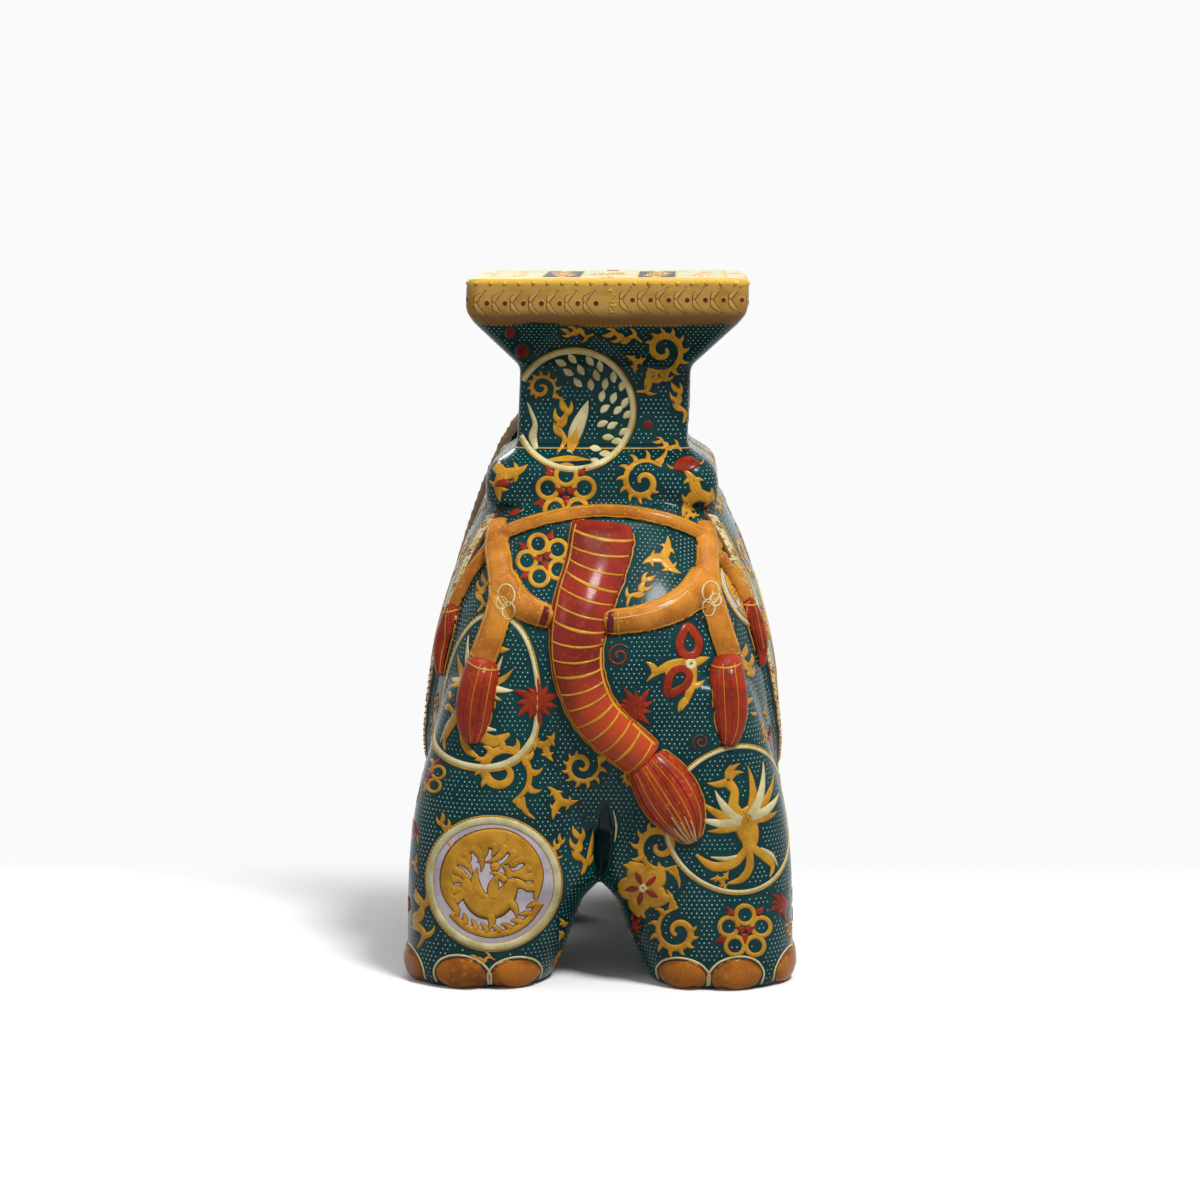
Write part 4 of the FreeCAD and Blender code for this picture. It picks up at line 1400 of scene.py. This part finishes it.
def paintEars():
    rims = {name: [0.0] * len(shapes[name].data.vertices) for name in skins}
    for name in ("left_ear", "right_ear"):
        points = [v.co.copy() for v in nodes[name].data.vertices]
        heart = sum(points, Vector()) / len(points)
        edge = max(points, key=lambda p: abs(p.x))
        along = Vector((edge.x - heart.x, edge.y - heart.y, 0)).normalized()
        facing = Vector((-along.y, along.x, 0))
        earOnly = treeOf(nodes[name])
        for sign in (1, -1):
            chart = WallChart(heart, facing * sign)
            chart.near = earOnly
            flatSpots = [chart.flat(p) for p in points]
            outline = geometry.convex_hull_2d([Vector(s) for s in flatSpots])
            hull = [flatSpots[i] for i in outline]
            leads = [earLead(points[i] - heart, along) for i in outline]
            if sign > 0:
                edgeTone(chart, hull, along, rims)
            for inset in earEdge["lines"]:
                bag("gold").stroke(chart, edgeRun(hull, leads, inset), 0.5)
            root = -1 if chart.flat(heart + along)[0] > 0 else 1
            put(chart, "flameScroll", root * 15, 35, 12.0, 30, sign)
            put(chart, "ringFlower", root * 5, -2, 12.0, 0)
            put(chart, "flameBranch", root * 3, -45, 17.0, 6, sign)
    for name, values in rims.items():
        shapes[name].data.attributes.new("rim", "FLOAT", "POINT").data.foreach_set("value", values)


region = "head"
paintFace()
paintTrunk()
paintEars()
print("head painted")


# toenails: an arch of cream and brown round each
nailArch = (-20, 10, 40, 65, 90, 115, 140, 170, 200)


def linkedGroups(mesh):
    # the corners of each loose part
    left = dict.fromkeys(mesh.verts)
    while left:
        group, stack = [], [left.popitem()[0]]
        while stack:
            vert = stack.pop()
            group.append(vert.co.copy())
            for edge in vert.link_edges:
                other = edge.other_vert(vert)
                if other in left:
                    del left[other]
                    stack.append(other)
        yield group


def paintNails():
    arch = [polar(1.0, a) for a in nailArch]
    for foot in feet:
        mesh = weldedCopy([foot + "_toenails"])
        low, high = boxOf(foot + "_leg")
        middle = (low + high) / 2
        for group in linkedGroups(mesh):
            heart = sum(group, Vector()) / len(group)
            chart = WallChart(heart, (heart.x - middle.x, heart.y - middle.y, 0), tops["nail"])
            wide = max(abs((p - heart).dot(chart.across)) for p in group) * 1000
            tall = max(p.z - heart.z for p in group) * 1000
            bag("amber").disc(chart, 0, 0.9, wide - 0.5, tall - 1.3, 0.14, 0.0, 40, 10)
            bag("cream").stroke(chart, [(x * (wide + 0.8), y * (tall + 0.8), 0.8) for x, y in arch], 0.5)
            bag("brown").stroke(chart, [(x * (wide - 0.9), y * (tall - 0.9), 0.35) for x, y in arch], 0.3)
        mesh.free()


region = "feet"
paintNails()
print("toenails painted")

# small motifs fill what is still bare; the later ones are smaller
fillers = {"seed": 11, "tries": 7000, "sizes": (10.0, 15.0), "gap": 1.18, "smaller": 0.62, "smallerFrom": 0.55,
           "heights": (0.012, 0.420), "under": -0.55, "rear": -0.09, "head": 0.07, "bend": 1.35, "stand": 0.004,
           "kinds": ["flameScroll", "starLeaf", "flameBranch", "ringFlower", "burst", "starLeaf", "flameScroll",
                     "flameBranch", "fruit"]}


def isFree(chart, reach):
    for ring, count in ((0.0, 1), (0.5, 6), (1.0, 12)):
        for i in range(count):
            hit = land(chart, *polar(reach * ring, 360 * i / count))
            if hit is None or (hit[0] - chart.spot).length > reach * fillers["bend"] * mm:
                return False
            if not covered.isdisjoint(cellsRound(hit[0], 1)):
                return False
    return True


def fillBare():
    global region
    draw = random.Random(fillers["seed"])
    placed = 0
    spots = [(face.center.copy(), face.normal.copy()) for name in skins for face in shapes[name].data.polygons]
    lowest, highest = fillers["heights"]
    for i in range(fillers["tries"]):
        spot, normal = draw.choice(spots)
        small = i >= fillers["tries"] * fillers["smallerFrom"]
        size = draw.uniform(*fillers["sizes"]) * (fillers["smaller"] if small else 1.0)
        kind, turn, flip = draw.choice(fillers["kinds"]), draw.uniform(0, 360), draw.choice((-1, 1))
        if spot.z > highest or spot.z < lowest or normal.z < fillers["under"]:
            continue
        chart = WallChart(spot, normal)
        chart.stand = fillers["stand"]
        if not isFree(chart, size * fillers["gap"]):
            continue
        region = "rear" if spot.y < fillers["rear"] else ("head" if spot.y > fillers["head"] else "flank")
        put(chart, kind, 0, 0, size, turn, flip)
        placed += 1
    print("fillers placed", placed)


fillBare()

# raised dots in staggered rows over all bare ground, laid from many sides
dotRows = {"pitch": 3.2, "radius": 0.60, "height": 0.15, "turns": 8, "slants": (0, 38, -38, 76), "steepest": 60,
           "rows": 98, "columns": 93, "rowShare": 0.866, "middle": (0, 0, 0.22), "stand": 0.6, "layers": 4,
           "nudge": 0.0008, "graze": 0.55, "tie": 0.03, "heights": (0.003, 0.4195), "closest": 0.78,
           "regions": (("Rear", -0.105), ("Flank", 0.06), ("Front", 1.0))}


def dotViews():
    views = []
    for slant in dotRows["slants"]:
        for i in range(dotRows["turns"] if slant < dotRows["steepest"] else 1):
            a, b = math.radians(-90 + 45 * i), math.radians(slant)
            views.append(Vector((math.cos(a) * math.cos(b), math.sin(a) * math.cos(b), math.sin(b))))
    return views


def hitsBehind(start, way):
    # what a ray meets, one layer after the other
    for depth in range(dotRows["layers"]):
        spot, normal, index, far = ground.ray_cast(start, way)
        if spot is None:
            return
        start = spot + way * dotRows["nudge"]
        yield spot, normal


def paintDots():
    made = {word: Enamel("paleDots" + word, "paleDot", "ground_glaze") for word, end in dotRows["regions"]}
    taken, views = {}, dotViews()
    pitch, (lowest, highest) = dotRows["pitch"], dotRows["heights"]
    apart = pitch * dotRows["closest"] * mm

    def fits(spot, normal, out):
        facing = normal.dot(out)
        if facing < dotRows["graze"] or spot.z > highest or spot.z < lowest:
            return False
        if facing < max(normal.dot(other) for other in views) - dotRows["tie"]:
            return False
        if not covered.isdisjoint(cellsRound(spot, 1, 1)):
            return False
        return not any(cell in taken and (taken[cell] - spot).length < apart for cell in cellsRound(spot, 2))

    for out in views:
        chart = WallChart(dotRows["middle"], out)
        chart.stand = dotRows["stand"]
        for row in range(-dotRows["rows"], dotRows["rows"] + 1):
            for column in range(-dotRows["columns"], dotRows["columns"] + 1):
                u, v = (column + 0.5 * (row % 2)) * pitch, row * pitch * dotRows["rowShare"]
                for spot, normal in hitsBehind(*chart.ray(u, v)):
                    if fits(spot, normal, out):
                        taken[cellOf(spot)] = spot
                        word = next(word for word, end in dotRows["regions"] if spot.y < end)
                        made[word].bead(spot, normal, dotRows["radius"], dotRows["height"])
    for group in made.values():
        group.finish()
    print("dots", len(taken))


for paintBag in bags.values():
    paintBag.finish()
paintDots()

# floor, backdrop and light
sweep = {"size": 9.0, "rise": 5.0, "fold": 1.6, "paper": 0.90, "cloud": 0.03, "bounce": 0.34, "white": 0.955,
         "far": (0.35, 1.0), "clear": (0.06, 0.22)}


def grey(value):
    return (value, value, value, 1.0)


def seenBy(tree):
    # one for rays that come from the camera, straight or by way of gloss or glass
    path = tree.nodes.new("ShaderNodeLightPath")
    seen = Sock(tree, path.outputs["Is Camera Ray"])
    for way in ("Is Glossy Ray", "Is Transmission Ray"):
        seen = seen.math("MAXIMUM", Sock(tree, path.outputs[way]))
    return seen


def mixed(tree, amount, first, second, output):
    mix = tree.nodes.new("ShaderNodeMixShader")
    feed(tree, mix.inputs[0], amount)
    for index, shader in enumerate((first, second)):
        tree.links.new(shader.outputs[0], mix.inputs[index + 1])
    tree.links.new(mix.outputs[0], output.inputs[0])


def sweepPaint():
    paint = Paint("paperSweep")
    tone = paint.blend(paint.band(paint.noise(1.5, 2.0), 0.3, 0.7), grey(sweep["paper"]),
                       grey(sweep["paper"] + sweep["cloud"]))
    seen = seenBy(paint.tree)
    # the paper throws little light back at the legs
    paint.finish(paint.blend(seen, grey(sweep["bounce"]), tone), 0.85, coat=0.0, specular=0.1)
    reach = paint.add("ShaderNodeVectorMath", {"operation": "LENGTH"}, {0: paint.place}, "Value")
    # to the camera the paper glows white far out, and also from the clear band on towards the front: there the glow
    # is painted light that takes the object's shadow off the floor under its forelegs and ahead of it
    away = paint.band(reach, *sweep["far"]).math("MAXIMUM", paint.band(paint.axis("Y"), *sweep["clear"]))
    glow = paint.tree.nodes.new("ShaderNodeEmission")
    glow.inputs["Color"].default_value = grey(sweep["white"])
    mixed(paint.tree, seen * away, paint.shader, glow, paint.output)
    return paint.material


def makeStage():
    bpy.ops.object.select_all(action="DESELECT")
    bpy.ops.mesh.primitive_plane_add(size=sweep["size"])
    floor = bpy.context.object
    floor.name = "studioFloor"
    bpy.ops.object.mode_set(mode="EDIT")
    bpy.ops.mesh.select_all(action="DESELECT")

    def pickBackEdges(flatOnly):
        mesh = bmesh.from_edit_mesh(floor.data)
        for edge in mesh.edges:
            edge.select = all(v.co.y > 0.1 and not (flatOnly and abs(v.co.z) > 0.01) for v in edge.verts)
        bmesh.update_edit_mesh(floor.data)

    pickBackEdges(False)
    bpy.ops.mesh.extrude_edges_move(TRANSFORM_OT_translate={"value": (0, 0, sweep["rise"])})
    pickBackEdges(True)
    bpy.ops.mesh.bevel(offset=sweep["fold"], segments=14)
    bpy.ops.object.mode_set(mode="OBJECT")
    bpy.ops.object.shade_smooth()
    floor.data.materials.clear()
    floor.data.materials.append(sweepPaint())


lamps = {
    "keyLamp": {"place": (0.75, -1.15, 2.2), "aim": (0, -0.1, 0.2), "size": 0.6, "power": 52.0},
    "topLamp": {"place": (0.1, 0.1, 2.4), "aim": (0, 0.0, 0.2), "size": 1.1, "power": 16.0},
    "leftLamp": {"place": (-1.7, -1.2, 2.0), "aim": (0, -0.1, 0.2), "size": 0.9, "power": 7.0},
    "frontLamp": {"place": (-0.6, 2.0, 1.7), "aim": (0, 0.1, 0.2), "size": 1.0, "power": 26.0},
}

air = {"light": ((0.97, 0.98, 1.0, 1.0), 0.24), "seen": ((0.95, 0.95, 0.95, 1.0), 1.0)}


def makeLamps():
    for name, kind in lamps.items():
        data = bpy.data.lights.new(name, "AREA")
        data.shape = "DISK"
        data.size = kind["size"]
        data.energy = kind["power"]
        lamp = bpy.data.objects.new(name, data)
        lamp.location = kind["place"]
        lamp.rotation_euler = aimed(kind["place"], kind["aim"]).to_euler()
        bpy.context.collection.objects.link(lamp)


def makeAir():
    world = bpy.data.worlds.new("studioAir")
    world.use_nodes = True
    tree = world.node_tree
    tree.nodes.clear()
    shades = []
    for tone, strength in (air["light"], air["seen"]):
        shade = tree.nodes.new("ShaderNodeBackground")
        shade.inputs[0].default_value = tone
        shade.inputs[1].default_value = strength
        shades.append(shade)
    mixed(tree, seenBy(tree), *shades, tree.nodes.new("ShaderNodeOutputWorld"))
    bpy.context.scene.world = world


makeStage()
makeLamps()
makeAir()
bpy.context.scene.view_settings.view_transform = "Standard"
